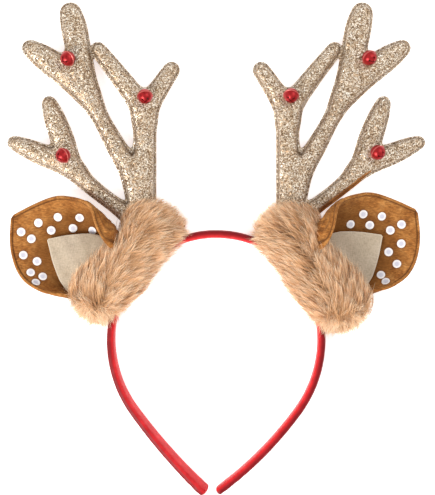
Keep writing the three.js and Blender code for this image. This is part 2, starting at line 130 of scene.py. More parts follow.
# Each tine from root to tip: out, up and width as shares of the antler's spread, height and
# trunk width
TINES = {
    "trunk": (
        (0, 0, 0.98), (0.022, 0.142, 1.03), (0.022, 0.268, 1),
        (0.004, 0.391, 0.83), (0, 0.506, 0.79),
    ),
    "inner_fork": ((0, 0.487, 0.76), (0.004, 0.575, 0.97), (0.011, 0.63, 0.69)),
    "inner_fork_outer_tine": (
        (0, 0.529, 0.76), (0.051, 0.613, 0.76),
        (0.181, 0.709, 0.67), (0.34, 0.814, 0.56),
    ),
    "inner_fork_inner_tine": (
        (0, 0.529, 0.76), (-0.036, 0.605, 0.76),
        (-0.123, 0.682, 0.66), (-0.192, 0.736, 0.6),
    ),
    "upper_stem": (
        (0.036, 0.218, 0.9), (0.108, 0.345, 0.76), (0.21, 0.444, 0.69),
        (0.304, 0.536, 0.6), (0.376, 0.605, 0.69),
    ),
    "upper_fork": ((0.354, 0.59, 0.66), (0.448, 0.682, 0.97), (0.542, 0.77, 0.76)),
    "upper_fork_outer_tine": (
        (0.39, 0.613, 0.69), (0.535, 0.705, 0.93),
        (0.716, 0.778, 0.86), (0.832, 0.82, 0.59),
    ),
    "upper_fork_inner_tine": (
        (0.362, 0.598, 0.69), (0.427, 0.697, 0.76), (0.477, 0.805, 0.86),
        (0.513, 0.897, 0.9), (0.539, 0.954, 0.76),
    ),
    "lower_stem": ((0, 0.13, 0.83), (0.188, 0.207, 0.59), (0.34, 0.268, 0.57), (0.477, 0.33, 0.64)),
    "lower_fork": ((0.419, 0.303, 0.55), (0.521, 0.364, 0.76), (0.615, 0.416, 0.59)),
    "lower_fork_outer_tine": (
        (0.448, 0.318, 0.55), (0.593, 0.375, 0.72), (0.766, 0.416, 0.74),
        (0.882, 0.443, 0.62), (0.951, 0.458, 0.47),
    ),
    "lower_fork_inner_tine": (
        (0.434, 0.31, 0.55), (0.528, 0.383, 0.66), (0.6, 0.475, 0.81),
        (0.658, 0.556, 0.72), (0.694, 0.609, 0.52),
    ),
}

# The ear from root to apex: share of its length, seen half widths, degrees that the edges curl,
# share of the root's height
EAR_ROWS = np.array((
    (0, 0.2, 0.28, 100, 90, 1),
    (0.13, 0.5, 0.5, 145, 120, 0.8),
    (0.27, 0.87, 0.68, 190, 150, 0.3),
    (0.4, 0.97, 0.8, 165, 120, 0.1),
    (0.54, 1.03, 0.91, 105, 80, 0),
    (0.68, 0.96, 0.91, 65, 50, 0),
    (0.81, 0.77, 0.73, 40, 30, 0.02),
    (0.92, 0.4, 0.42, 20, 16, 0.08),
    (1, 0.05, 0.06, 8, 8, 0.14),
))

# The patch from its hidden end to its corner: share of its length, half width, height
PATCH_ROWS = np.array((
    (0, 1.04, 1),
    (0.28, 1.06, 0.72),
    (0.55, 0.86, 0.42),
    (0.8, 0.45, 0.16),
    (0.92, 0.2, 0.05),
    (1, 0.03, 0),
))

# The puff from its upper to its lower end: share of its half length, reach inwards and
# outwards, height
FUR_ROWS = np.array((
    (-1, -0.35, 0.35, 0.32),
    (-0.9, 0.1, 0.75, 0.66),
    (-0.75, 0.35, 1, 0.86),
    (-0.5, 0.65, 1.1, 0.97),
    (-0.25, 0.9, 0.88, 1),
    (0, 1, 0.83, 1),
    (0.3, 0.9, 0.88, 1),
    (0.58, 0.6, 0.98, 0.97),
    (0.8, 0.25, 0.88, 0.86),
    (0.92, -0.05, 0.68, 0.62),
    (1, -0.45, 0.4, 0.3),
))

# Sizes of the looks

SEAM_INSET = 1.25
RIM_HALF = 0.52
SEAM_HALF = 0.36
PUFF_RISE = 6.0
PUFF_SOFTNESS = 4.2
ANTLER_PITCH = 0.62
BACK_SHOWS = 2.3

SPOT_RADIUS = 2.4
# Dots printed on each ear: millimetres along it and across its sheet, from its root
SPOTS = {
    "left": (
        (66.1, -4.5), (59.2, -4.7), (60.7, 5.0), (52.3, 5.3), (53.0, 13.8), (42.3, 20.4), (42.5, 13.1),
        (32.3, 18.2), (58.1, -15.0), (49.7, -13.8), (49.1, -21.4), (42.2, -19.6), (43.4, -25.2),
    ),
    "right": (
        (49.3, 16.3), (40.2, 15.8), (48.9, 8.7), (57.3, 8.8), (56.7, -0.5), (63.7, -1.4), (57.3, -10.2),
        (48.8, -9.9), (48.6, -18.3), (37.6, -18.2), (37.4, -23.4),
    ),
}
EAR_SEAM = 1.6
FOLDS = 3
FOLD_WIDTH = 12
FOLDS_MEET = 50

OUTER_SHADE_TURN = 60  # degrees from the band's outer side to the middle of its painted shade, a deeper red where that side would lie in shade

BELL_SWELL = 0.15
BELL_WALL = 0.45
BELL_RIM = 0.3
SLOT_REACH = 2.2
SLOT_WIDTH = 0.4
SLOT_HOLE = 0.5
# How each bell hangs: degrees that its slotted end leans from straight up, and the way it leans
BELL_LEANS = {
    "left_inner": (54, -82),
    "left_upper": (50, -140),
    "left_lower": (52, -150),
    "right_inner": (52, -100),
    "right_upper": (50, -55),
    "right_lower": (52, -50),
}

PARTING_LEAN = 8  # degrees that the pile leans from the puff's line at its parting
EDGE_LEAN = 24  # and at its edges
PILE_RISE = 30  # degrees between the pile and the puff's skin
LOCKS = 3400
STRAYS = 0.16  # share of the strands that keep apart from their lock
STRAY_STRETCH = 1.3
# Strands of each coat: how many, stations, length, width, how far under the puff's skin they
# end, how far the strands of a lock stand apart at their roots and how closely they meet
COATS = {
    "undercoat": {
        "strands": 24000, "steps": 3, "length": 9, "width": 0.46, "under": 2.2, "apart": 1.4, "meet": 0.3,
    },
    "topcoat": {
        "strands": 27000, "steps": 4, "length": 13, "width": 0.25, "under": -0.5, "apart": 1.35, "meet": 0.62,
    },
}

CAMERA_LENS = 85
SENSOR_WIDTH = 36
FRAME_PLANE = 6  # height over the floor where the picture is FRAME_TALL high
FRAME_TALL = 277.2
FRAME_MIDDLE = (0.7, 0.3)
WORLD_STRENGTH = 0.7
# Lights in metres and watts, aimed at the floor's middle
LIGHTS = {
    "key": {"place": (-0.75, -0.7, 0.95), "size": 0.7, "power": 17, "colour": (1, 0.985, 0.96)},
    "fill": {"place": (0.8, 0.6, 1.0), "size": 1.0, "power": 5, "colour": (1, 1, 1)},
}

crown_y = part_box("headband")[1].y / MM - (BAND_RADIUS + BAND_THICKNESS / 2)
CROWN = np.array((0.0, crown_y, 0.0))


# Numbers


def smooth_rows(rows, column, share):
    """A column of a table at shares of the way through it, on a smooth curve."""
    x, y = rows[:, 0], rows[:, column]
    slope = np.gradient(y, x)
    k = np.clip(np.searchsorted(x, share) - 1, 0, len(x) - 2)
    step = x[k + 1] - x[k]
    t = np.clip((share - x[k]) / step, 0, 1)
    a = (1 + 2 * t) * (1 - t) ** 2 * y[k] + t * (1 - t) ** 2 * step * slope[k]
    b = t * t * (3 - 2 * t) * y[k + 1] - t * t * (1 - t) * step * slope[k + 1]
    return a + b


def waves(points, length, seed, count=7):
    """Smooth random waves of about that length over points, from about -1 to 1."""
    rng = np.random.default_rng(seed)
    total = np.zeros(len(points))
    for _ in range(count):
        way = rng.normal(size=points.shape[1])
        way *= 2 * math.pi / length / np.linalg.norm(way) * rng.uniform(0.6, 1.5)
        total += np.sin(points @ way + rng.uniform(0, 2 * math.pi))
    return total / math.sqrt(count)


def between(grid, i, j, u, v):
    """A grid's values at shares u past its rows i and v past its columns j."""
    near = grid[i, j] * (1 - v) + grid[i, j + 1] * v
    far = grid[i + 1, j] * (1 - v) + grid[i + 1, j + 1] * v
    return near * (1 - u) + far * u


def unit(vectors):
    return vectors / np.maximum(np.linalg.norm(vectors, axis=-1, keepdims=True), 1e-12)


def on_crown(degrees):
    angle = math.radians(degrees)
    return np.array((BAND_RADIUS * math.sin(angle), BAND_RADIUS * math.cos(angle)))


# Meshes


def mesh_of(name, points, faces, values=None, face_slots=None):
    """A mesh from points in millimetres about the crown's middle. Faces are arrays of indices."""
    mesh = bpy.data.meshes.new(name)
    corners = np.concatenate([f.reshape(-1) for f in faces]).astype(np.int32)
    sizes = np.concatenate([np.full(len(f), f.shape[1]) for f in faces])
    starts = np.concatenate(([0], np.cumsum(sizes)[:-1])).astype(np.int32)
    mesh.vertices.add(len(points))
    mesh.vertices.foreach_set("co", ((points + CROWN) * MM).astype(np.float32).ravel())
    mesh.loops.add(len(corners))
    mesh.loops.foreach_set("vertex_index", corners)
    mesh.polygons.add(len(sizes))
    mesh.polygons.foreach_set("loop_start", starts)
    mesh.update(calc_edges=True)
    mesh.polygons.foreach_set("use_smooth", np.ones(len(sizes), bool))
    if face_slots is not None:
        mesh.polygons.foreach_set("material_index", face_slots.astype(np.int32))
    for key, data in (values or {}).items():
        mesh.attributes.new(key, "FLOAT", "POINT").data.foreach_set("value", data.astype(np.float32))
    mesh.validate()
    return mesh


def place(name, mesh, materials, nodes=()):
    """Makes a piece of a mesh. It rides on the one body and may stand for CAD nodes."""
    obj = bpy.data.objects.new(name, mesh)
    bpy.context.scene.collection.objects.link(obj)
    for material in materials:
        mesh.materials.append(material)
    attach(obj, "root")
    if nodes:
        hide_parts(*nodes)
    return obj


def grid_faces(rows, columns, closed=False):
    """The quads of a grid of points, row by row. A closed grid joins its last column to its first."""
    wide = columns if closed else columns - 1
    i, j = np.meshgrid(np.arange(rows - 1), np.arange(wide), indexing="ij")
    a, b = i * columns + j, i * columns + (j + 1) % columns
    return np.stack((a, b, b + columns, a + columns), axis=-1).reshape(-1, 4)


def mirrored(points, faces, side):
    """Points made for the right side as they are on this side, with the faces still facing out."""
    if side["sign"] > 0:
        return points, faces
    return points * (-1, 1, 1), [f[:, ::-1] for f in faces]


def facing_out(points, faces):
    """The faces of a closed skin, turned round if they face in."""
    volume = 0.0
    for f in faces:
        for k in range(1, f.shape[1] - 1):
            a, b, c = points[f[:, 0]], points[f[:, k]], points[f[:, k + 1]]
            volume += (a * np.cross(b, c)).sum()
    return [f[:, ::-1] for f in faces] if volume < 0 else faces


def sheet_skin(middle, normal, half):
    """A closed skin round a grid of middle points: its front, its back and the edge between."""
    rows, columns = middle.shape[:2]
    front = (middle + normal * half[..., None]).reshape(-1, 3)
    back = (middle - normal * half[..., None]).reshape(-1, 3)
    faces = grid_faces(rows, columns)
    index = np.arange(rows * columns).reshape(rows, columns)
    ring = np.concatenate((index[0], index[1:, -1], index[-1, -2::-1], index[-2:0:-1, 0]))
    after = np.roll(ring, -1)
    count = rows * columns
    wall = np.stack((after, ring, ring + count, after + count), axis=-1)
    return np.concatenate((front, back)), [faces, faces[:, ::-1] + count, wall]


# Materials


class Paint:
    """Builds the nodes of one material."""

    def __init__(self, name):
        self.material = bpy.data.materials.new(name)
        self.material.use_nodes = True
        self.tree = self.material.node_tree
        self.shader = self.tree.nodes["Principled BSDF"]

    def node(self, kind, **settings):
        made = self.tree.nodes.new(kind)
        for key, value in settings.items():
            if hasattr(made, key):
                setattr(made, key, value)
            else:
                self.plug(made, key.replace("_", " "), value)
        return made

    def plug(self, node, socket, value):
        if isinstance(value, bpy.types.NodeSocket):
            self.tree.links.new(value, node.inputs[socket])
        else:
            node.inputs[socket].default_value = value

    def set(self, **sockets):
        for key, value in sockets.items():
            self.plug(self.shader, key.replace("_", " "), value)

    def place(self, scale=(1, 1, 1), turn=0.0):
        """Object coordinates in millimetres, scaled and turned about Z."""
        coordinates = self.node("ShaderNodeTexCoord").outputs["Object"]
        made = self.node("ShaderNodeMapping")
        self.plug(made, "Vector", coordinates)
        made.inputs["Scale"].default_value = [s / MM for s in scale]
        made.inputs["Rotation"].default_value = (0, 0, turn)
        return made.outputs["Vector"]

    def noise(self, size, detail=2.0, vector=None, roughness=0.5):
        """Noise whose features are about that many millimetres across."""
        made = self.node("ShaderNodeTexNoise", Scale=1 / size, Detail=detail, Roughness=roughness)
        self.plug(made, "Vector", vector or self.place())
        return made.outputs["Fac"]

    def cells(self, size, vector=None):
        """Random cells about that many millimetres across."""
        made = self.node("ShaderNodeTexVoronoi", Scale=1 / size)
        self.plug(made, "Vector", vector or self.place())
        return made

    def value(self, name):
        return self.node("ShaderNodeAttribute", attribute_name=name).outputs["Fac"]

    def math(self, operation, a, b=0.0, c=0.0, clamp=False):
        made = self.node("ShaderNodeMath", operation=operation, use_clamp=clamp)
        for i, x in enumerate((a, b, c)):
            self.plug(made, i, x)
        return made.outputs[0]

    def span(self, value, low, high, to_low=0.0, to_high=1.0):
        made = self.node("ShaderNodeMapRange", interpolation_type="SMOOTHSTEP")
        for i, x in enumerate((value, low, high, to_low, to_high)):
            self.plug(made, i, x)
        return made.outputs[0]

    def ramp(self, value, stops, mode="LINEAR"):
        made = self.node("ShaderNodeValToRGB")
        self.plug(made, "Fac", value)
        made.color_ramp.interpolation = mode
        while len(made.color_ramp.elements) < len(stops):
            made.color_ramp.elements.new(0.5)
        for element, (at, colour) in zip(made.color_ramp.elements, stops):
            element.position = at
            element.color = (*colour, 1)
        return made.outputs["Color"]

    def mix(self, share, a, b, blend="MIX"):
        made = self.node("ShaderNodeMix", data_type="RGBA", blend_type=blend)
        self.plug(made, 0, share)
        self.plug(made, 6, a if isinstance(a, bpy.types.NodeSocket) else (*a, 1))
        self.plug(made, 7, b if isinstance(b, bpy.types.NodeSocket) else (*b, 1))
        return made.outputs[2]

    def bump(self, height, depth, strength=1.0, normal=None):
        """A bump whose height of 1 stands that many millimetres."""
        made = self.node("ShaderNodeBump", Strength=strength, Distance=depth * MM)
        self.plug(made, "Height", height)
        if normal is not None:
            self.plug(made, "Normal", normal)
        return made.outputs["Normal"]


def glitter_paint():
    """Glitter flakes on cloth: every cell has its own colour, partly painted glint, and its own tilt."""
    p = Paint("champagne_glitter")
    fine = p.cells(0.46)
    coarse = p.cells(0.85)
    pick = p.node("ShaderNodeSeparateColor")
    p.plug(pick, 0, fine.outputs["Color"])
    # Flake colours, partly painted sparkle: the spread from dark to white cells stands in for glints, with
    # the white cells as painted glints
    flake_colours_and_glints = p.ramp(
        pick.outputs[0],
        (
            (0.0, (0.14, 0.085, 0.045)),
            (0.17, (0.32, 0.22, 0.135)),
            (0.38, (0.49, 0.375, 0.265)),
            (0.6, (0.67, 0.56, 0.44)),
            (0.8, (1.0, 0.96, 0.88)),
        ),
        "CONSTANT",
    )
    patches = p.ramp(p.noise(5, 3), ((0.3, (0.82, 0.72, 0.6)), (0.7, (1.0, 0.98, 0.95))))
    colour = p.mix(1.0, flake_colours_and_glints, patches, "MULTIPLY")
    seam = p.value("seam")
    colour = p.mix(p.math("MULTIPLY", seam, 0.8), colour, (0.12, 0.06, 0.025))
    tilt = p.node("ShaderNodeVectorMath", operation="SUBTRACT")
    p.plug(tilt, 0, p.mix(0.35, fine.outputs["Color"], coarse.outputs["Color"]))
    tilt.inputs[1].default_value = (0.5, 0.5, 0.5)
    bigger = p.node("ShaderNodeVectorMath", operation="SCALE", Scale=0.8)
    p.plug(bigger, 0, tilt.outputs[0])
    lean = p.node("ShaderNodeVectorMath", operation="ADD")
    p.plug(lean, 0, bigger.outputs[0])
    p.plug(lean, 1, p.node("ShaderNodeNewGeometry").outputs["Normal"])
    straight = p.node("ShaderNodeVectorMath", operation="NORMALIZE")
    p.plug(straight, 0, lean.outputs[0])
    rough = p.span(pick.outputs[1], 0, 1, 0.28, 0.6)
    p.set(Base_Color=colour, Metallic=0.55, Roughness=rough, Normal=straight.outputs[0])
    return p.material


def velour_paint():
    """Short brushed pile, mottled where it lies in different ways."""
    p = Paint("caramel_velour")
    mottle = p.noise(7, 6, roughness=0.68)
    grain = p.noise(0.7, 4, vector=p.place((0.3, 1.4, 1), 0.7), roughness=0.7)
    colour = p.ramp(
        mottle,
        (
            (0.3, (0.21, 0.07, 0.014)),
            (0.44, (0.33, 0.125, 0.028)),
            (0.56, (0.43, 0.18, 0.046)),
            (0.74, (0.56, 0.275, 0.09)),
        ),
    )
    fleck = p.ramp(grain, ((0.3, (0.36, 0.31, 0.26)), (0.5, (0.95, 0.94, 0.92)), (0.7, (1.65, 1.62, 1.55))))
    colour = p.mix(0.9, colour, fleck, "MULTIPLY")
    # Painted shade, darker down in the ear's hollow
    colour = p.mix(p.math("MULTIPLY", p.value("painted_cup_shade"), 0.72), colour, (0.15, 0.05, 0.007))
    # Darker seam stitching, and painted shade in the creases of the root folds
    colour = p.mix(p.math("MULTIPLY", p.value("seam"), 0.85), colour, (0.075, 0.024, 0.006))
    # Painted shadow round each raised dot
    colour = p.mix(p.math("MULTIPLY", p.value("painted_spot_shadow"), 0.5), colour, (0.12, 0.045, 0.02))
    p.set(
        Base_Color=colour,
        Roughness=0.88,
        Specular_IOR_Level=0.2,
        Sheen_Weight=0.16,
        Sheen_Roughness=0.4,
        Sheen_Tint=(1.0, 0.66, 0.36, 1),
        Normal=p.bump(grain, 0.3, 0.8),
    )
    return p.material


def felt_paint():
    """Pressed felt: short fibres in all directions."""
    p = Paint("beige_felt")
    cross = p.noise(0.7, 3, vector=p.place((0.4, 1.6, 1), 0.5))
    other = p.noise(0.7, 3, vector=p.place((1.5, 0.4, 1), -0.4))
    fibres = p.math("MULTIPLY", cross, other)
    cloud = p.noise(11, 3)
    colour = p.ramp(cloud, ((0.3, (0.45, 0.365, 0.265)), (0.7, (0.53, 0.435, 0.33))))
    fleck = p.ramp(fibres, ((0.12, (0.76, 0.74, 0.71)), (0.25, (1, 1, 1)), (0.38, (1.16, 1.15, 1.13))))
    colour = p.mix(0.8, colour, fleck, "MULTIPLY")
    colour = p.mix(p.math("MULTIPLY", p.value("edge"), 0.7), colour, (0.86, 0.76, 0.6))
    p.set(
        Base_Color=colour,
        Roughness=0.95,
        Specular_IOR_Level=0.15,
        Sheen_Weight=0.25,
        Sheen_Roughness=0.5,
        Normal=p.bump(fibres, 0.25, 0.7),
    )
    return p.material


def fur_paint():
    """Soft pile, dark at the roots and light at the tips."""
    p = Paint("tan_fur")
    colour = p.ramp(
        p.value("reach"),
        (
            (0.0, (0.26, 0.115, 0.045)),
            (0.35, (0.47, 0.235, 0.1)),
            (0.65, (0.72, 0.41, 0.2)),
            (0.84, (0.98, 0.645, 0.375)),
            (1.0, (1.0, 0.88, 0.68)),
        ),
    )
    # Random tone of each strand, darker along the parting as painted shade
    tone_and_parting_shade = p.ramp(p.value("tone_and_parting_shade"), ((0.0, (0.66, 0.58, 0.52)), (0.5, (1, 1, 1)), (1.0, (1.14, 1.1, 1.04))))
    colour = p.mix(1.0, colour, tone_and_parting_shade, "MULTIPLY")
    p.set(
        Base_Color=colour,
        Roughness=0.6,
        Specular_IOR_Level=0.3,
        Sheen_Weight=0.4,
        Sheen_Roughness=0.5,
        Sheen_Tint=(1.0, 0.8, 0.6, 1),
    )
    return p.material


def backing_paint():
    """The knitted backing under the pile."""
    p = Paint("fur_backing")
    colour = p.ramp(p.noise(1.4, 3), ((0.3, (0.17, 0.09, 0.045)), (0.7, (0.33, 0.19, 0.1))))
    p.set(Base_Color=colour, Roughness=0.95, Specular_IOR_Level=0.1, Normal=p.bump(p.noise(0.8), 0.6))
    return p.material


def satin_paint():
    """Red satin ribbon, with threads across the band, faint creases painted as lighter and darker red, and
    painted shade on its outer side.
    """
    p = Paint("red_satin")
    threads = p.noise(0.5, 2, vector=p.place((0.5, 2.2, 1), 0.3))
    # Painted light and shade: the red is lighter and darker in soft patches, as over faint creases
    crease_light_and_shade = p.noise(4.5, 3)
    reds = ((0.3, (0.52, 0.008, 0.012)), (0.6, (0.68, 0.016, 0.02)), (0.8, (0.76, 0.03, 0.034)))
    colour = p.ramp(crease_light_and_shade, reds)
    # Painted shade: the ribbon is a deeper red on its outer side, where it would lie in shade
    outer_side_shade = p.ramp(p.value("outer"), ((0.62, (1, 1, 1)), (0.9, (0.34, 0.2, 0.3))))
    colour = p.mix(1.0, colour, outer_side_shade, "MULTIPLY")
    rough = p.span(threads, 0.2, 0.8, 0.36, 0.52)
    p.set(
        Base_Color=colour,
        Roughness=rough,
        Specular_IOR_Level=0.22,
        Normal=p.bump(threads, 0.06, 0.6),
    )
    return p.material


def bell_paint():
    """Red lacquer over thin metal, a little uneven, with a paler red painted highlight on its rim."""
    p = Paint("red_bell_metal")
    uneven = p.noise(1.6, 2)
    colour = p.ramp(uneven, ((0.3, (0.28, 0.005, 0.007)), (0.7, (0.44, 0.014, 0.016))))
    # Painted highlight: the rim is a paler red
    colour = p.mix(p.math("MULTIPLY", p.value("rim"), 0.5), colour, (0.8, 0.24, 0.2))
    p.set(
        Base_Color=colour,
        Metallic=0.55,
        Roughness=p.span(uneven, 0.2, 0.8, 0.26, 0.38),
        Normal=p.bump(uneven, 0.12, 0.5),
    )
    return p.material


def spot_paint():
    """Smooth pale print with a whiter rim."""
    p = Paint("pale_print")
    whites = ((0.4, (0.64, 0.63, 0.71)), (0.62, (0.82, 0.8, 0.84)), (0.78, (0.95, 0.92, 0.9)))
    colour = p.ramp(p.value("edge"), whites)
    speckle = p.ramp(p.noise(0.6, 3), ((0.3, (0.9, 0.9, 0.92)), (0.7, (1, 1, 1))))
    p.set(Base_Color=p.mix(1.0, colour, speckle, "MULTIPLY"), Roughness=0.45, Specular_IOR_Level=0.4)
    return p.material


# Band


def band_course(side, steps=1.2):
    """Stations of one leg's centre line, from the crown's top: x, y, turn and share of its twist."""
    stations = []

    def arc(cx, cy, radius, start, end, shares):
        count = max(8, round(abs(radius * (end - start)) / steps))
        part = np.arange(1, count + 1) / count
        turns = start + (end - start) * part
        share = shares[0] + (shares[1] - shares[0]) * part
        x, y = cx + radius * np.sin(turns), cy + radius * np.cos(turns)
        stations.append(np.stack((x, y, turns, share), axis=1))

    quarter = math.pi / 2
    arc(0, 0, BAND_RADIUS, 0, quarter, (0, KNEE_SHARES[0]))
    temple = quarter + math.radians(TEMPLE_SWEEP)
    arc(BAND_RADIUS - TEMPLE_RADIUS, 0, TEMPLE_RADIUS, quarter, temple, KNEE_SHARES)
    knee = stations[-1][-1]
    tip = np.array((TIP_GAP / 2 + BAND_THICKNESS * TIP_SLANT - side["sign"] * TIP_SHIFT, -BAND_DROP))
    d = tip - knee[:2]
    inward = np.array((-math.sin(temple), -math.cos(temple)))
    radius = (d @ d) / (2 * (d @ inward))
    centre = knee[:2] + radius * inward
    end = math.atan2((tip[0] - centre[0]) / radius, (tip[1] - centre[1]) / radius)
    end += math.pi if radius < 0 else 0
    end += 2 * math.pi if end < 0 else 0
    arc(centre[0], centre[1], radius, temple, end, (KNEE_SHARES[1], 1))
    return np.concatenate(stations)


def band_rings(side, around):
    """The rings of one leg with its rounded tip, made for this side, and their shares of twist."""
    course = band_course(side)
    scale = np.ones(len(course))
    tip = course[-1]
    for lean in np.radians(np.linspace(12, 88, 9)):
        forward = TIP_ROUNDING * math.sin(lean)
        beyond = (tip[0] + forward * math.cos(tip[2]), tip[1] - forward * math.sin(tip[2]), tip[2], 1)
        course = np.vstack((course, beyond))
        scale = np.append(scale, math.cos(lean))
    angle = np.arange(around) / around * 2 * math.pi
    c, s = np.cos(angle), np.sin(angle)
    out = np.sign(c) * np.abs(c) ** BAND_SQUARENESS * BAND_THICKNESS / 2
    up = np.sign(s) * np.abs(s) ** BAND_SQUARENESS * BAND_DEPTH / 2
    share = course[:, 3]
    twist = np.radians(side["twist"]) * np.maximum(0, share - 0.5) * 2
    out, up = np.outer(scale, out), np.outer(scale, up)
    across = out * np.cos(twist)[:, None] - up * np.sin(twist)[:, None]
    high = out * np.sin(twist)[:, None] + up * np.cos(twist)[:, None]
    x = side["sign"] * (course[:, :1] + across * np.sin(course[:, 2:3]))
    y = course[:, 1:2] + across * np.cos(course[:, 2:3])
    rings = np.stack((x, y, BAND_LIFT + BAND_DEPTH / 2 + high), axis=-1)
    return rings, share


def make_band(satin):
    around = 28
    left, left_share = band_rings(SIDES[0], around)
    right, right_share = band_rings(SIDES[1], around)
    rings = np.concatenate((left[::-1], right))
    share = np.concatenate((left_share[::-1], right_share))
    middle = rings.mean(axis=1, keepdims=True)
    flat = rings.reshape(-1, 3)
    # Creases of the ribbon run slantwise over the band and are deeper towards the tips
    along = np.cumsum(np.linalg.norm(np.diff(middle[:, 0], axis=0, prepend=middle[:1, 0]), axis=1))
    angle = np.arange(around) / around * 2 * math.pi
    slant = 1.8 * np.tile(np.sin(angle), len(rings))
    way = np.stack((np.repeat(along, around) + slant, 2.5 * np.tile(np.cos(angle), len(rings))), axis=1)
    deep = 0.05 + 0.16 * np.repeat(np.clip((share - 0.93) / 0.06, 0, 1), around)
    crease = waves(way, 7, 3) * 0.6 + waves(way, 3.2, 4) * 0.4
    out = unit(flat - np.repeat(middle[:, 0], around, axis=0))
    flat = flat + out * (crease * deep)[:, None]
    faces = [grid_faces(len(rings), around, closed=True)]
    ends = []
    for first, turned in ((0, True), ((len(rings) - 1) * around, False)):
        flat = np.vstack((flat, flat[first : first + around].mean(axis=0)))
        hub = len(flat) - 1
        a = first + np.arange(around)
        b = first + (np.arange(around) + 1) % around
        fan = np.stack((a, b, np.full(around, hub)), axis=1)
        ends.append(fan[:, ::-1] if turned else fan)
    faces = facing_out(flat, faces + ends)
    # Painted shade: a share for each point of the ring, most on the band's outer side
    outer_side_shade = np.clip(np.cos(angle - math.radians(OUTER_SHADE_TURN)), 0, 1)
    outer = np.append(np.tile(outer_side_shade, len(rings)), (0, 0))
    mesh = mesh_of("satin_band", flat, faces, {"outer": outer})
    place("satin_band", mesh, [satin], ["headband"])


# Antlers


def tine_circles():
    """Circles along every tine, for the right side: x, y and radius."""
    root = on_crown(ANTLER_ANGLE)
    size = np.array((ANTLER_SPREAD, ANTLER_HEIGHT, TRUNK_WIDTH / 2))
    found = {}
    for name, rows in TINES.items():
        points = np.array(rows) * size + (*root, 0)
        padded = np.vstack((2 * points[0] - points[1], points, 2 * points[-1] - points[-2]))
        circles = []
        for k in range(1, len(padded) - 2):
            p0, p1, p2, p3 = padded[k - 1 : k + 3]
            t = np.linspace(0, 1, 26)[:, None]
            square, cube = 2 * p0 - 5 * p1 + 4 * p2 - p3, 3 * p1 - p0 - 3 * p2 + p3
            circles.append(0.5 * (2 * p1 + (p2 - p0) * t + square * t**2 + cube * t**3))
        found[name] = np.concatenate(circles)
    return found


class Outline:
    """How far inside an antler's outline places are, in millimetres, less than 0 outside."""

    cell = 0.75
    soft = 1.5

    def __init__(self, tines):
        circles = np.concatenate(list(tines.values()))
        margin = 6
        self.low = (circles[:, :2] - circles[:, 2:]).min(axis=0) - margin
        self.high = (circles[:, :2] + circles[:, 2:]).max(axis=0) + margin
        # The inner fork's tip leans on the upper stem, so the stem is rounded by itself
        upper = [c for name, c in tines.items() if name == "trunk" or name.startswith("upper")]
        rest = [c for name, c in tines.items() if not name.startswith("upper")]
        self.depth = np.maximum(self.rounded(np.concatenate(upper)), self.rounded(np.concatenate(rest)))

    def rounded(self, circles):
        """A grid of depths inside circles, its corners rounded."""
        x = np.arange(self.low[0], self.high[0] + self.cell, self.cell)
        y = np.arange(self.low[1], self.high[1] + self.cell, self.cell)
        spots = np.stack(np.meshgrid(x, y, indexing="ij"), axis=-1)
        depth = np.full(spots.shape[:2], -1e9)
        for cx, cy, radius in circles:
            depth = np.maximum(depth, radius - np.hypot(spots[..., 0] - cx, spots[..., 1] - cy))
        reach = np.arange(-6, 7) * self.cell
        weights = np.exp(-0.5 * (reach / self.soft) ** 2)
        weights /= weights.sum()
        for axis in (0, 1):
            depth = np.apply_along_axis(np.convolve, axis, depth, weights, "same")
        return depth

    def read(self, grid, points):
        """A grid's values at points."""
        u = np.clip((points[:, 0] - self.low[0]) / self.cell, 0, grid.shape[0] - 1.001)
        v = np.clip((points[:, 1] - self.low[1]) / self.cell, 0, grid.shape[1] - 1.001)
        i, j = u.astype(int), v.astype(int)
        return between(grid, i, j, u - i, v - j)

    def at(self, points):
        return self.read(self.depth, points)


def outline_mesh(outline):
    """Triangles that fill the antler's outline, cut off on it, with the depth at each point."""
    pitch = ANTLER_PITCH
    rise = pitch * math.sqrt(3) / 2
    low, high = outline.low, outline.high
    rows, columns = int((high[1] - low[1]) / rise) + 2, int((high[0] - low[0]) / pitch) + 2
    i, j = np.meshgrid(np.arange(rows), np.arange(columns), indexing="ij")
    points = np.stack((low[0] + (j + 0.5 * (i % 2)) * pitch, low[1] + i * rise), axis=-1).reshape(-1, 2)
    depth = outline.at(points)
    near = np.abs(depth) < 0.36 * pitch
    tiny = 0.02
    slope = np.stack(
        [
            (outline.at(points[near] + d) - outline.at(points[near] - d)) / (2 * tiny)
            for d in np.array(((tiny, 0), (0, tiny)))
        ],
        axis=1,
    )
    points[near] -= slope * (depth[near] / np.maximum((slope**2).sum(axis=1), 1e-6))[:, None]
    depth[near] = 0
    a = (i * columns + j)[:-1, :-1].ravel()
    odd = (i[:-1, :-1] % 2).ravel() == 1
    b, c, d = a + 1, a + columns, a + columns + 1
    triangles = np.concatenate(
        (
            np.stack((a, b, np.where(odd, d, c)), axis=1),
            np.stack((np.where(odd, a, b), d, c), axis=1),
        )
    )
    sign = np.sign(depth)[triangles]
    triangles = triangles[(sign > 0).any(axis=1)]
    sign = np.sign(depth)[triangles]
    whole = triangles[(sign >= 0).all(axis=1)]
    cut = triangles[(sign < 0).any(axis=1)]
    made, extra, known = [], [], {}

    def crossing(p, q):
        key = (min(p, q), max(p, q))
        if key not in known:
            t = depth[p] / (depth[p] - depth[q])
            known[key] = len(points) + len(extra)
            extra.append(points[p] + (points[q] - points[p]) * t)
        return known[key]

    for corners in cut:
        kept = []
        for p, q in zip(corners, np.roll(corners, -1)):
            if depth[p] >= 0:
                kept.append(p)
            if depth[p] * depth[q] < 0:
                kept.append(crossing(p, q))
        for k in range(1, len(kept) - 1):
            made.append((kept[0], kept[k], kept[k + 1]))
    points = np.vstack((points, extra))
    depth = np.concatenate((depth, np.zeros(len(extra))))
    triangles = np.vstack((whole, made))
    used, triangles = np.unique(triangles, return_inverse=True)
    return points[used], np.maximum(depth[used], 0), triangles.reshape(-1, 3)


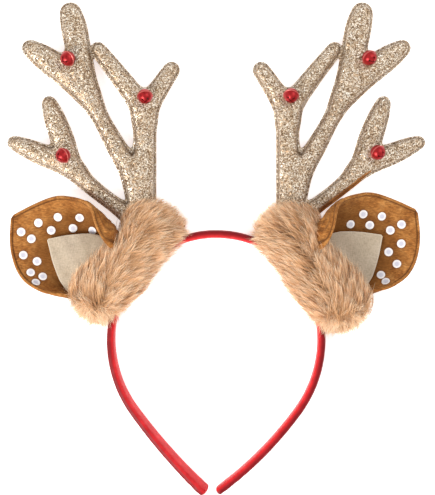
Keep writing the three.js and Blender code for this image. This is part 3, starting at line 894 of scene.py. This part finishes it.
def swelling(points, depth, outline):
    """How a stuffed shape swells inside its seam: the half width of the round section there."""
    cell = outline.cell
    inside = outline.depth - SEAM_INSET
    full = inside > 0
    lift = np.zeros(inside.shape)
    for _ in range(900):
        lift[1:-1, 1:-1] = (lift[2:, 1:-1] + lift[:-2, 1:-1] + lift[1:-1, 2:] + lift[1:-1, :-2] + cell**2) / 4
        lift[~full] = 0
    # Next to the seam the grid is too coarse, so the lift for each millimetre of depth is carried
    # out from inside
    sure = inside > 1.2 * cell
    share = np.where(sure, lift / np.maximum(inside, cell), 0)
    known = sure.astype(float)
    for _ in range(6):
        near, weight = np.zeros_like(share), np.zeros_like(share)
        for shift in ((1, 0), (-1, 0), (0, 1), (0, -1), (1, 1), (-1, -1), (1, -1), (-1, 1)):
            near += np.roll(share * known, shift, (0, 1))
            weight += np.roll(known, shift, (0, 1))
        fresh = (known == 0) & (weight > 0)
        share[fresh] = near[fresh] / weight[fresh]
        known[fresh] = 1
    return np.sqrt(np.maximum(2 * outline.read(share, points) * np.maximum(depth - SEAM_INSET, 0), 0))


def back_edge(tines, outline, points):
    """Which places lie on the lower edge of the lower branch, where the back's cloth comes round."""
    branch = np.concatenate((tines["lower_stem"], tines["lower_fork"]))
    away = np.hypot(points[:, None, 0] - branch[None, :, 0], points[:, None, 1] - branch[None, :, 1])
    on_branch = (branch[None, :, 2] - away).max(axis=1) > 0
    tiny = 0.3
    out_x = outline.at(points - (tiny, 0)) - outline.at(points + (tiny, 0))
    out_y = outline.at(points - (0, tiny)) - outline.at(points + (0, tiny))
    lower = (out_x * 0.5 - out_y * 0.86) / (2 * tiny) > 0.6
    return on_branch & lower & (outline.at(points) < BACK_SHOWS)


def make_antler(side, glitter, velour):
    tines = tine_circles()
    outline = Outline(tines)
    points, depth, triangles = outline_mesh(outline)
    # Inside the band there is nothing of the antler
    outside = np.hypot(points[:, 0], points[:, 1]) > BAND_RADIUS + BAND_THICKNESS / 2 + 0.3
    triangles = triangles[outside[triangles].all(axis=1)]
    used, triangles = np.unique(triangles, return_inverse=True)
    points, depth, triangles = points[used], depth[used], triangles.reshape(-1, 3)
    swell = swelling(points, depth, outline)
    rim = np.where(depth < 0.5, RIM_HALF * np.sqrt(np.clip(1 - (1 - depth / 0.5) ** 2, 0.16, 1)), RIM_HALF)
    groove = np.exp(-(((depth - SEAM_INSET) / 0.3) ** 2))
    flat = rim - (RIM_HALF - SEAM_HALF) * groove
    lumps = 1 + 0.035 * waves(points, 13, side["seed"]) + 0.02 * waves(points, 5, side["seed"] + 1)
    half = flat + PUFF_RISE * (1 - np.exp(-swell / PUFF_SOFTNESS)) * lumps
    # Small puckers stand across the seam
    pucker = 0.16 * waves(points, 3.0, side["seed"] + 2) * np.exp(-(((depth - SEAM_INSET - 0.8) / 1.1) ** 2))
    half = np.maximum(half + pucker * (depth > SEAM_INSET), 0.2)
    middle = TRUNK_THICKNESS / 2
    count = len(points)
    front = np.column_stack((points, middle + half))
    back = np.column_stack((points, np.maximum(middle - half, 0.05)))
    edges = np.concatenate([triangles[:, [0, 1]], triangles[:, [1, 2]], triangles[:, [2, 0]]])
    keys = np.sort(edges, axis=1)
    _, first, uses = np.unique(keys, axis=0, return_index=True, return_counts=True)
    rim_edges = edges[first[uses == 1]]
    wall = np.hstack((rim_edges[:, ::-1], rim_edges + count))
    skin = np.concatenate((front, back))
    faces = facing_out(skin, [triangles, triangles[:, ::-1] + count, wall])
    skin, faces = mirrored(skin, faces, side)
    seam = np.exp(-(((depth - SEAM_INSET) / 0.28) ** 2))
    front_slots = np.zeros(len(triangles))
    if side["back_shows"]:
        front_slots = back_edge(tines, outline, points[triangles].mean(axis=1)).astype(float)
    slots = np.concatenate((front_slots, np.ones(len(triangles)), np.ones(len(wall))))
    values = {"seam": np.tile(seam, 2), "painted_spot_shadow": np.zeros(2 * count), "painted_cup_shade": np.zeros(2 * count)}
    name = f"padded_antler_{side['name']}"
    mesh = mesh_of(name, skin, faces, values, slots)
    antler = place(name, mesh, [glitter, velour], [f"antler_{side['name']}"])


# Bells


def bell_mesh():
    """A jingle bell about the origin: two domes and the rim where they meet, before its crossed slots are
    cut.
    """
    radius, rim = BELL_DIAMETER / 2 + BELL_SWELL, BELL_RIM
    angles = np.linspace(0, math.pi, 33)
    outer = [(radius * math.sin(a), radius * math.cos(a)) for a in angles]
    half = len(outer) // 2
    brim = radius + rim
    outer[half : half + 1] = [(radius, rim), (brim, rim * 0.6), (brim, -rim * 0.6), (radius, -rim)]
    inside = radius - BELL_WALL
    inner = [(inside * math.sin(a), inside * math.cos(a)) for a in angles]
    bm = bmesh.new()
    for profile, turned in ((outer, False), (inner, True)):
        around = 48
        rings = []
        for r, z in profile:
            if r < 1e-6:
                rings.append([bm.verts.new((0, 0, z))])
                continue
            turns = [2 * math.pi * k / around for k in range(around)]
            rings.append([bm.verts.new((r * math.cos(t), r * math.sin(t), z)) for t in turns])
        for upper, lower in zip(rings, rings[1:]):
            for k in range(around):
                n = (k + 1) % around
                pairs = ((upper, k), (lower, k), (lower, n), (upper, n))
                corners = list(dict.fromkeys(ring[at % len(ring)] for ring, at in pairs))
                bm.faces.new(corners[::-1] if turned else corners)
    mesh = bpy.data.meshes.new("bell_shell")
    bm.to_mesh(mesh)
    bm.free()
    return mesh


def slot_cutter():
    """Crossed slots with a round hole at each end."""
    bm = bmesh.new()
    through, middle = 5, 3.5
    for turn in (math.pi / 4, -math.pi / 4):
        made = bmesh.ops.create_cube(bm, size=1)["verts"]
        bmesh.ops.scale(bm, vec=(2 * SLOT_REACH, SLOT_WIDTH, through), verts=made)
        bmesh.ops.rotate(bm, cent=(0, 0, 0), matrix=Matrix.Rotation(turn, 3, "Z"), verts=made)
        bmesh.ops.translate(bm, vec=(0, 0, middle), verts=made)
        for end in (-SLOT_REACH, SLOT_REACH):
            hole = {"radius1": SLOT_HOLE, "radius2": SLOT_HOLE, "depth": through}
            made = bmesh.ops.create_cone(bm, cap_ends=True, segments=20, **hole)["verts"]
            at = (end * math.cos(turn), end * math.sin(turn), middle)
            bmesh.ops.translate(bm, vec=at, verts=made)
    mesh = bpy.data.meshes.new("slot_cutter")
    bm.to_mesh(mesh)
    bm.free()
    return mesh


def slotted_bell():
    """The bell's mesh with its slots cut, in millimetres."""
    shell = bpy.data.objects.new("shell", bell_mesh())
    cutter = bpy.data.objects.new("cutter", slot_cutter())
    for obj in (shell, cutter):
        bpy.context.scene.collection.objects.link(obj)
    cut = shell.modifiers.new("slots", "BOOLEAN")
    cut.operation, cut.object, cut.solver, cut.use_self = "DIFFERENCE", cutter, "EXACT", True
    bpy.context.view_layer.update()
    made = bpy.data.meshes.new_from_object(shell.evaluated_get(bpy.context.evaluated_depsgraph_get()))
    for obj in (shell, cutter):
        bpy.data.objects.remove(obj)
    return made


def make_bells(red):
    pattern = slotted_bell()
    for name, (lean, way) in BELL_LEANS.items():
        low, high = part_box(f"bell_{name}")
        centre = Vector(((low.x + high.x) / 2, (low.y + high.y) / 2, high.z - BELL_DIAMETER / 2 * MM))
        mesh = pattern.copy()
        at = np.array([v.co for v in mesh.vertices])
        # Where the rim's painted highlight goes
        rim = (np.abs(at[:, 2]) < 0.4) & (np.hypot(at[:, 0], at[:, 1]) > BELL_DIAMETER / 2)
        mesh.attributes.new("rim", "FLOAT", "POINT").data.foreach_set("value", rim.astype(np.float32))
        turn = Matrix.Rotation(math.radians(way), 4, "Z") @ Matrix.Rotation(math.radians(lean), 4, "Y")
        mesh.transform(Matrix.Translation(centre) @ turn @ Matrix.Scale(MM, 4))
        mesh.polygons.foreach_set("use_smooth", np.ones(len(mesh.polygons), bool))
        mesh.set_sharp_from_angle(angle=math.radians(40))
        place(f"jingle_bell_{name}", mesh, [red], [f"bell_{name}"])


# Ears


def ear_axes(side):
    """The ear's root, the way to its apex and the way across it."""
    rise = math.radians(side["ear_rise"])
    ahead, sideways = (math.cos(rise), math.sin(rise)), (-math.sin(rise), math.cos(rise))
    return on_crown(EAR_ANGLE), np.array(ahead), np.array(sideways)


def ear_floor(along):
    share = np.interp(along / EAR_LENGTH, EAR_ROWS[:, 0], EAR_ROWS[:, 5])
    root = BAND_LIFT + BAND_DEPTH / 2 - EAR_ROOT_DROP
    return EAR_HEIGHT + (root - EAR_HEIGHT) * share


def in_ear_frame(side, along, across, high):
    root, ahead, sideways = ear_axes(side)
    flat = root + along[..., None] * ahead + across[..., None] * sideways
    return np.concatenate((flat, high[..., None]), axis=-1)


class EarSheet:
    """The middle sheet of an ear as a grid: rows along it and columns across its flat cloth."""

    def __init__(self, side, rows=96, columns=113):
        root, near_apex, fine_rows = 0.055, 0.93, 14
        most = np.linspace(root, near_apex, rows - fine_rows, endpoint=False)
        self.along = np.concatenate((most, np.linspace(near_apex, 1, fine_rows)))
        self.cloth = np.sin(np.linspace(-1, 1, columns) * math.pi / 2 * 0.94) / math.sin(math.pi / 2 * 0.94)
        fine = np.arange(241) / 240
        middles = (fine[1:] + fine[:-1]) / 2
        across, high, reach = [], [], []
        for share in self.along:
            seen = [max(smooth_rows(EAR_ROWS, k, share), 0.02) * EAR_HALF_WIDTH for k in (2, 1)]
            curl = [smooth_rows(EAR_ROWS, k, share) for k in (4, 3)]
            parts = []
            for width, degrees, power in zip(seen, curl, (3, side["upper_curl"])):
                slope = math.radians(degrees) * middles**power
                run = np.concatenate(([0], np.cumsum(np.cos(slope)))) / 240
                lift = np.concatenate(([0], np.cumsum(np.sin(slope)))) / 240
                parts.append((run * width / run.max(), lift * width / run.max(), width / run.max()))
            (low_run, low_lift, low_reach), (up_run, up_lift, up_reach) = parts
            t = np.abs(self.cloth)
            lower = self.cloth < 0
            across.append(np.where(lower, -np.interp(t, fine, low_run), np.interp(t, fine, up_run)))
            high.append(np.where(lower, np.interp(t, fine, low_lift), np.interp(t, fine, up_lift)))
            reach.append((low_reach, up_reach))
        along = np.repeat(self.along[:, None] * EAR_LENGTH, columns, axis=1)
        self.reach = np.array(reach)
        self.points = in_ear_frame(side, along, np.array(across), np.array(high) + ear_floor(along))
        down, over = np.gradient(self.points, axis=0), np.gradient(self.points, axis=1)
        self.normal = unit(np.cross(down, over))
        if self.normal[rows // 2, columns // 2, 2] < 0:
            self.normal = -self.normal
        # Each point of the flat cloth: along the ear and across it
        width = np.where(self.cloth < 0, self.reach[:, :1], self.reach[:, 1:])
        self.flat = np.stack((along, self.cloth[None] * width), axis=-1)
        edge = np.concatenate((self.flat[:, 0], self.flat[:, -1]))
        away = [np.linalg.norm(row[:, None] - edge, axis=2).min(axis=1) for row in self.flat]
        self.inset = np.array(away)

    def row_of(self, along):
        row = np.interp(along / EAR_LENGTH, self.along, np.arange(len(self.along)))
        i = np.clip(row.astype(int), 0, len(self.along) - 2)
        return i, row - i

    def column_of(self, across, reach):
        cloth = across / np.where(across < 0, reach[:, 0], reach[:, 1])
        column = np.interp(np.clip(cloth, -1, 1), self.cloth, np.arange(len(self.cloth)))
        j = np.clip(column.astype(int), 0, len(self.cloth) - 2)
        return j, column - j

    def at(self, along, across):
        """Points and normals of the sheet at places of the flat cloth."""
        i, u = self.row_of(along)
        u = u[:, None]
        j, v = self.column_of(across, self.reach[i] * (1 - u) + self.reach[i + 1] * u)
        v = v[:, None]
        return between(self.points, i, j, u, v), unit(between(self.normal, i, j, u, v))

    def height_at(self, heights, along, across):
        """A grid of heights over the sheet, read at places of the flat cloth."""
        i, u = self.row_of(along)
        j, v = self.column_of(across, self.reach[i])
        return between(heights, i, j, u, v)


def ear_folds(sheet):
    """Folds along the upper edge near the root: their height, and how deep in one a place is, which sets the
    painted shade in their creases.
    """
    along, across = sheet.flat[..., 0], sheet.flat[..., 1]
    # The folds meet at the upper edge, halfway to the apex
    width = FOLD_WIDTH * np.clip((FOLDS_MEET - along) / 32, 0.02, 1) ** 0.8
    place_in = (sheet.inset - 1.3) / width
    there = (across > 0) * np.clip((1.12 - place_in) / 0.16, 0, 1) * np.clip(place_in / 0.08, 0, 1)
    there *= np.clip((FOLDS_MEET - along) / 8, 0, 1)
    wave = np.cos(2 * math.pi * (FOLDS * place_in - 0.5))
    return 0.7 * wave * there, np.clip(-wave - 0.25, 0, 1) / 0.75 * there


def ear_relief(sheet, side):
    """How far the middle sheet stands forward of its plain form: soft waves and root folds."""
    flat = sheet.flat.reshape(-1, 2)
    along = sheet.flat[..., 0]
    soft = 0.35 * waves(flat, 17, side["seed"] + 5).reshape(along.shape)
    calm = np.clip(sheet.inset / 6, 0, 1)
    return soft * calm + ear_folds(sheet)[0]


def make_ear(side, velour):
    sheet = EarSheet(side)
    inset = sheet.inset
    middle = sheet.points + sheet.normal * ear_relief(sheet, side)[..., None]
    half = np.full(inset.shape, EAR_WALL / 2)
    half -= 0.4 * np.exp(-(((inset - EAR_SEAM) / 0.42) ** 2))
    half = np.where(inset < 0.7, half * np.sqrt(np.clip(1 - (1 - inset / 0.7) ** 2, 0.06, 1)), half)
    skin, faces = sheet_skin(middle, sheet.normal, half)
    skin[:, 2] = np.maximum(skin[:, 2], 0.05)
    faces = facing_out(skin, faces)
    seam = np.exp(-(((inset - EAR_SEAM) / 0.4) ** 2)).ravel()
    # Painted shadow round each dot, fading over about 0.7 mm outside it
    painted_spot_shadow = np.zeros(inset.size)
    flat = sheet.flat.reshape(-1, 2)
    for spot in SPOTS[side["name"]]:
        away = np.linalg.norm(flat - spot, axis=1)
        painted_spot_shadow = np.maximum(painted_spot_shadow, np.exp(-((np.maximum(away - SPOT_RADIUS, 0) / 0.7) ** 2)))
    # Painted shade that deepens away from the edges and towards the root, down in the ear's hollow
    cup_shade_share = np.clip((inset - 4) / 10, 0, 1) * np.clip((68 - sheet.flat[..., 0]) / 18, 0, 1)
    painted_cup_shade = cup_shade_share.ravel()
    plain = np.zeros(painted_cup_shade.size)
    values = {
        # The seam's dark stitching, with painted shade in the root folds' creases
        "seam": np.tile(np.maximum(seam, 0.7 * ear_folds(sheet)[1].ravel()), 2),
        "painted_spot_shadow": np.concatenate((painted_spot_shadow, plain)),
        "painted_cup_shade": np.concatenate((painted_cup_shade, plain)),
    }
    skin, faces = mirrored(skin, faces, side)
    name = f"velour_ear_{side['name']}"
    ear = place(name, mesh_of(name, skin, faces, values), [velour], [f"ear_{side['name']}"])
    return sheet


def make_spots(side, sheet, paint):
    """Thin dots that follow the ear's cloth."""
    rings, around = 6, 28
    relief = ear_relief(sheet, side)
    turns = np.arange(around) / around * 2 * math.pi
    radii = np.linspace(0.25, 1, rings)
    share = np.concatenate(([0], np.repeat(radii, around)))
    dome = EAR_WALL / 2 + 0.02 + 0.2 * np.sqrt(np.clip(1 - share**4, 0, 1))
    k = np.arange(around)
    fan = np.stack((np.zeros(around, int), 1 + k, 1 + (k + 1) % around), axis=1)
    walls = grid_faces(rings, around, closed=True)[:, [0, 3, 2, 1]] + 1
    points, fans, quads = [], [], []
    for number, (along, across) in enumerate(SPOTS[side["name"]]):
        a = np.concatenate(([along], (along + SPOT_RADIUS * radii[:, None] * np.cos(turns)).ravel()))
        c = np.concatenate(([across], (across + SPOT_RADIUS * radii[:, None] * np.sin(turns)).ravel()))
        at, normal = sheet.at(a, c)
        points.append(at + normal * (dome + sheet.height_at(relief, a, c))[:, None])
        fans.append(number * len(share) + fan)
        quads.append(number * len(share) + walls)
    skin, parts = mirrored(np.concatenate(points), [np.concatenate(fans), np.concatenate(quads)], side)
    edge = np.tile(share, len(points))
    name = f"ear_dots_{side['name']}"
    place(name, mesh_of(name, skin, parts, {"edge": edge}), [paint])


# Patches


def make_patch(side, felt):
    rows, columns = 72, 49
    share = 1 - (1 - np.linspace(0, 1, rows)) ** 1.3
    cloth = np.linspace(-1, 1, columns)
    along = PATCH_START + share * PATCH_LENGTH
    half_width = np.maximum(np.interp(share, PATCH_ROWS[:, 0], PATCH_ROWS[:, 1]), 0.03)
    smooth = np.maximum(smooth_rows(PATCH_ROWS, 1, share), 0.03)
    half_width = (0.35 * half_width + 0.65 * smooth) * PATCH_HALF_WIDTH
    rise = smooth_rows(PATCH_ROWS, 2, share) * PATCH_RISE
    across = half_width[:, None] * cloth
    lengths = np.repeat(along[:, None], columns, axis=1)
    stand = EAR_WALL / 2 + PATCH_STAND + PATCH_WALL / 2
    high = (ear_floor(along) + stand + rise)[:, None] - PATCH_SAG * half_width[:, None] * cloth**2
    middle = in_ear_frame(side, lengths, across, high)
    flat = np.stack((lengths, across), axis=-1)
    middle[..., 2] += 0.22 * waves(flat.reshape(-1, 2), 12, side["seed"] + 8).reshape(rows, columns)
    normal = unit(np.cross(np.gradient(middle, axis=0), np.gradient(middle, axis=1)))
    if normal[rows // 2, columns // 2, 2] < 0:
        normal = -normal
    border = np.concatenate((flat[:, 0], flat[:, -1]))
    inset = np.linalg.norm(flat.reshape(-1, 1, 2) - border, axis=2).min(axis=1).reshape(rows, columns)
    half = np.full(inset.shape, PATCH_WALL / 2)
    half = np.where(inset < 0.4, half * np.sqrt(np.clip(1 - 0.6 * (1 - inset / 0.4) ** 2, 0.2, 1)), half)
    skin, faces = sheet_skin(middle, normal, half)
    faces = facing_out(skin, faces)
    skin, faces = mirrored(skin, faces, side)
    edge = np.exp(-((inset / 0.45) ** 2)).ravel()
    name, ear = f"felt_patch_{side['name']}", f"velour_ear_{side['name']}"
    mesh = mesh_of(name, skin, faces, {"edge": np.tile(edge, 2)})
    patch = place(name, mesh, [felt], [f"ear_patch_{side['name']}"])


# Fur


def fur_place(side, share, turn, depth):
    """Points of a puff: share along it, turn round it from its outside, depth 1 at its skin."""
    reach = BAND_RADIUS + (side["fur_outside"] - FUR_INSIDE) / 2
    angle = math.radians(side["fur_middle"]) + share * FUR_LENGTH / 2 / reach
    held = np.clip(share, -1, 1)
    inside = BAND_RADIUS - smooth_rows(FUR_ROWS, 1, held) * FUR_INSIDE
    outside = BAND_RADIUS + smooth_rows(FUR_ROWS, 2, held) * side["fur_outside"]
    high = smooth_rows(FUR_ROWS, 3, held) * FUR_HEIGHT
    middle, half = (inside + outside) / 2, (outside - inside) / 2
    radius = middle + depth * half * np.cos(turn)
    lift = high * FUR_MIDDLE_SHARE + depth * high * (1 - FUR_MIDDLE_SHARE) * np.sin(turn)
    return np.stack((radius * np.sin(angle), radius * np.cos(angle), np.maximum(lift, 0.25)), axis=-1)


def make_backing(side, paint):
    shares = np.linspace(-0.97, 0.97, 44)
    turns = np.arange(36) / 36 * 2 * math.pi
    s, t = np.meshgrid(shares, turns, indexing="ij")
    close = 0.5 * (1 - np.clip((np.abs(shares) - 0.8) / 0.17, 0, 1) ** 2)[:, None] + 0.04
    skin = fur_place(side, s.ravel(), t.ravel(), np.broadcast_to(close, s.shape).ravel())
    faces = [grid_faces(len(shares), len(turns), closed=True)]
    for row, turned in ((0, True), (len(shares) - 1, False)):
        ring = row * len(turns) + np.arange(len(turns))
        skin = np.vstack((skin, skin[ring].mean(axis=0)))
        fan = np.stack((ring, np.roll(ring, -1), np.full(len(ring), len(skin) - 1)), axis=1)
        faces.append(fan[:, ::-1] if turned else fan)
    faces = facing_out(skin, faces)
    skin, faces = mirrored(skin, faces, side)
    name = f"fur_backing_{side['name']}"
    place(name, mesh_of(name, skin, faces), [paint], [f"fur_{side['name']}"])


def fur_normal(side, share, turn):
    """Outward directions of the puff's skin."""
    tiny = 0.004
    along = fur_place(side, share + tiny, turn, 1) - fur_place(side, share - tiny, turn, 1)
    round_it = fur_place(side, share, turn + tiny, 1) - fur_place(side, share, turn - tiny, 1)
    normal = unit(np.cross(along, round_it))
    outward = fur_place(side, share, turn, 1) - fur_place(side, share * 0.9, turn, 0)
    return normal * np.sign((normal * outward).sum(axis=1, keepdims=True))


def spread_over_fur(side, count, rng):
    """Places spread evenly over the puff's skin: shares and turns."""
    shares = np.linspace(-0.999, 0.999, 161)
    turns = np.linspace(-0.8, math.pi + 0.8, 91)
    s, t = np.meshgrid(shares, turns, indexing="ij")
    grid = fur_place(side, s.ravel(), t.ravel(), 1).reshape(*s.shape, 3)
    cells = np.linalg.norm(np.cross(grid[1:, :-1] - grid[:-1, :-1], grid[:-1, 1:] - grid[:-1, :-1]), axis=2)
    # The parting down the puff's middle is thin
    across = np.cos((t[:-1, :-1] + t[1:, 1:]) / 2)
    cells = cells * (1 - 0.6 * np.exp(-((across / 0.13) ** 2)))
    picked = rng.choice(cells.size, count, p=(cells / cells.sum()).ravel())
    i, j = picked // cells.shape[1], picked % cells.shape[1]
    u, v = rng.uniform(size=count), rng.uniform(size=count)
    return shares[i] + u * (shares[1] - shares[0]), turns[j] + v * (turns[1] - turns[0])


def pile_way(side, share, turn, normal, rng):
    """The way that the pile points at places of the skin."""
    angle = math.radians(side["fur_middle"]) + share * FUR_LENGTH / 2 / (BAND_RADIUS + 8)
    zero = np.zeros(len(share))
    ahead = np.stack((-np.cos(angle), np.sin(angle), zero), axis=1)
    outward = np.stack((np.sin(angle), np.cos(angle), zero), axis=1)
    wander = 0.14 * np.sin(share * 6 + side["seed"]) + 0.07 * np.sin(share * 15 + 2 * side["seed"])
    across = np.cos(turn) + wander * np.sin(turn)
    lean = np.tanh(5 * across) * np.radians(PARTING_LEAN) + across * np.radians(EDGE_LEAN - PARTING_LEAN)
    lean += np.radians(rng.normal(0, 8, len(share)))
    # Towards the crown over most of the puff, and off its lower end there
    forward = np.interp(share, (0.45, 0.92), (1, -1))
    way = ahead * (np.cos(lean) * forward)[:, None] + outward * np.sin(lean)[:, None]
    flat = way - normal * (way * normal).sum(axis=1, keepdims=True)
    rise = np.radians(PILE_RISE + 10 * np.abs(across) + rng.normal(0, 7, len(share)))[:, None]
    return unit(flat * np.cos(rise) + normal * np.sin(rise))


def make_pile(side, name, material):
    """One coat of bare strands, gathered into locks. Each is a flat ribbon that ends in a point."""
    coat = COATS[name]
    count, steps = coat["strands"], coat["steps"]
    rng = np.random.default_rng(side["seed"] * 100 + len(name))
    share, turn = spread_over_fur(side, LOCKS, rng)
    normal = fur_normal(side, share, turn)
    way = pile_way(side, share, turn, normal, rng)
    across = np.cos(turn)
    # The outer side's pile is longer where it lies over the felt patch
    long = side["fur_long"] + 0.22 * np.exp(-(((share - 0.38) / 0.36) ** 2))
    long = long * np.clip(across, 0, 1) ** 1.5 * np.clip((1 - np.abs(share)) / 0.12, 0, 1)
    tip = fur_place(side, share, turn, 1 + long)
    angle = math.radians(side["fur_middle"]) + share * FUR_LENGTH / 2 / BAND_RADIUS
    crown_way = np.stack((-np.cos(angle), np.sin(angle), np.zeros(LOCKS)), axis=1)
    tip += crown_way * (side["fur_reach"] * np.clip((-share - 0.3) / 0.6, 0, 1))[:, None]
    uneven = rng.normal(0, 0.85, LOCKS) + 0.7 * waves(tip, 6, side["seed"] + 40)
    tip -= normal * (coat["under"] + uneven)[:, None]
    parting = np.exp(-((across / 0.2) ** 2)) * (0.6 + 0.4 * np.sin(share * 4 + side["seed"]))
    tip -= normal * (2.0 * parting)[:, None]
    # Each lock's random tone, with painted shade darkening it along the parting
    tone_and_parting_shade = rng.normal(0.46, 0.2, LOCKS) - 0.26 * parting
    size = coat["length"] * rng.normal(1, 0.1, LOCKS)
    member = rng.integers(0, LOCKS, count)
    lock_normal, lock_way = normal[member], way[member]
    off = rng.normal(size=(count, 3))
    off -= lock_normal * (off * lock_normal).sum(axis=1, keepdims=True)
    stray = rng.uniform(size=count) < STRAYS
    meet = np.where(stray, 0, coat["meet"] * rng.uniform(0.8, 1.1, count))[:, None]
    length = size[member][:, None]
    root = tip[member] - lock_way * length + off * coat["apart"]
    end = tip[member] + off * coat["apart"] * (1 - meet) + rng.normal(0, 0.3, (count, 3))
    stretch = rng.uniform(0.8, np.where(stray, STRAY_STRETCH, 1.1))[:, None]
    end = root + (end - root) * stretch
    bend = unit(0.8 * lock_normal + 0.6 * lock_way) * length * 0.45 + rng.normal(0, 0.35, (count, 3))
    grown = np.linspace(0, 1, steps + 1)
    t = grown[None, :, None]
    path = (1 - t) ** 2 * root[:, None] + 2 * t * (1 - t) * (root + bend)[:, None] + t**2 * end[:, None]
    path[..., 2] = np.maximum(path[..., 2], 0.15)
    ahead = unit(np.gradient(path, axis=1))
    aside = unit(np.cross(ahead, lock_normal[:, None]))
    face = unit(np.cross(aside, ahead))
    twist = rng.normal(0, 0.6, count)[:, None, None]
    aside = aside * np.cos(twist) + face * np.sin(twist)
    taper = np.interp(grown, (0, 0.35, 0.8, 1), (0.9, 1, 0.6, 0.0)) * coat["width"] / 2
    offset = aside * taper[None, :, None] * rng.uniform(0.7, 1.3, count)[:, None, None]
    # The last station is one point
    per = 2 * steps + 1
    skin = np.empty((count, per, 3))
    skin[:, 0 : 2 * steps : 2] = (path - offset)[:, :-1]
    skin[:, 1 : 2 * steps : 2] = (path + offset)[:, :-1]
    skin[:, -1] = path[:, -1]
    base = np.arange(count)[:, None] * per
    quads = [base + 2 * k + np.array((0, 1, 3, 2)) for k in range(steps - 1)]
    ends = base + per - np.array((3, 2, 1))
    reach = np.concatenate((np.repeat(grown[:-1], 2), [1])) * (1 - 0.09 * coat["under"])
    strand_tone_and_shade = np.clip(tone_and_parting_shade[member] + rng.normal(0, 0.1, count), 0, 1)
    values = {"reach": np.tile(reach, count), "tone_and_parting_shade": np.repeat(strand_tone_and_shade, per)}
    skin, faces = mirrored(skin.reshape(-1, 3), [np.concatenate(quads), ends], side)
    skin[:, 2] = np.maximum(skin[:, 2], 0.1)
    title = f"fur_{name}_{side['name']}"
    place(title, mesh_of(title, skin, faces, values), [material])


# Assembly

satin = satin_paint()
glitter = glitter_paint()
velour = velour_paint()
felt = felt_paint()
pile = fur_paint()
knit = backing_paint()
red = bell_paint()
print_paint = spot_paint()

make_band(satin)
make_bells(red)
for side in SIDES:
    make_antler(side, glitter, velour)
    sheet = make_ear(side, velour)
    make_spots(side, sheet, print_paint)
    make_patch(side, felt)
    make_backing(side, knit)
    for coat_name in COATS:
        make_pile(side, coat_name, pile)

# Stage


def make_floor():
    bpy.ops.mesh.primitive_plane_add(size=6)
    floor = bpy.context.object
    floor.name = "floor"
    p = Paint("floor")
    p.set(
        Base_Color=(0.95, 0.95, 0.95, 1),
        Roughness=0.9,
        Emission_Color=(1, 1, 1, 1),
        Emission_Strength=0.6,
    )
    floor.data.materials.append(p.material)


def make_light(name, row):
    data = bpy.data.lights.new(name, "AREA")
    data.shape = "DISK"
    data.size = row["size"]
    data.energy = row["power"]
    data.color = row["colour"]
    light = bpy.data.objects.new(name, data)
    light.location = row["place"]
    light.rotation_euler = (-Vector(row["place"])).to_track_quat("-Z", "Y").to_euler()
    bpy.context.scene.collection.objects.link(light)


def make_camera():
    """Looks straight down on the headband from the photograph's distance."""
    data = bpy.data.cameras.new("camera")
    data.lens = CAMERA_LENS
    data.sensor_width = SENSOR_WIDTH
    away = FRAME_TALL * CAMERA_LENS / SENSOR_WIDTH
    camera = bpy.data.objects.new("camera", data)
    camera.location = (FRAME_MIDDLE[0] * MM, FRAME_MIDDLE[1] * MM, (FRAME_PLANE + away) * MM)
    bpy.context.scene.collection.objects.link(camera)
    bpy.context.scene.camera = camera


def make_world():
    world = bpy.data.worlds.new("studio")
    bpy.context.scene.world = world
    world.use_nodes = True
    background = world.node_tree.nodes["Background"]
    background.inputs["Color"].default_value = (1, 1, 1, 1)
    background.inputs["Strength"].default_value = WORLD_STRENGTH


make_floor()
make_camera()
make_world()
for light_name, light_row in LIGHTS.items():
    make_light(light_name, light_row)
bpy.context.scene.view_settings.view_transform = "Standard"

bpy.context.view_layer.update()
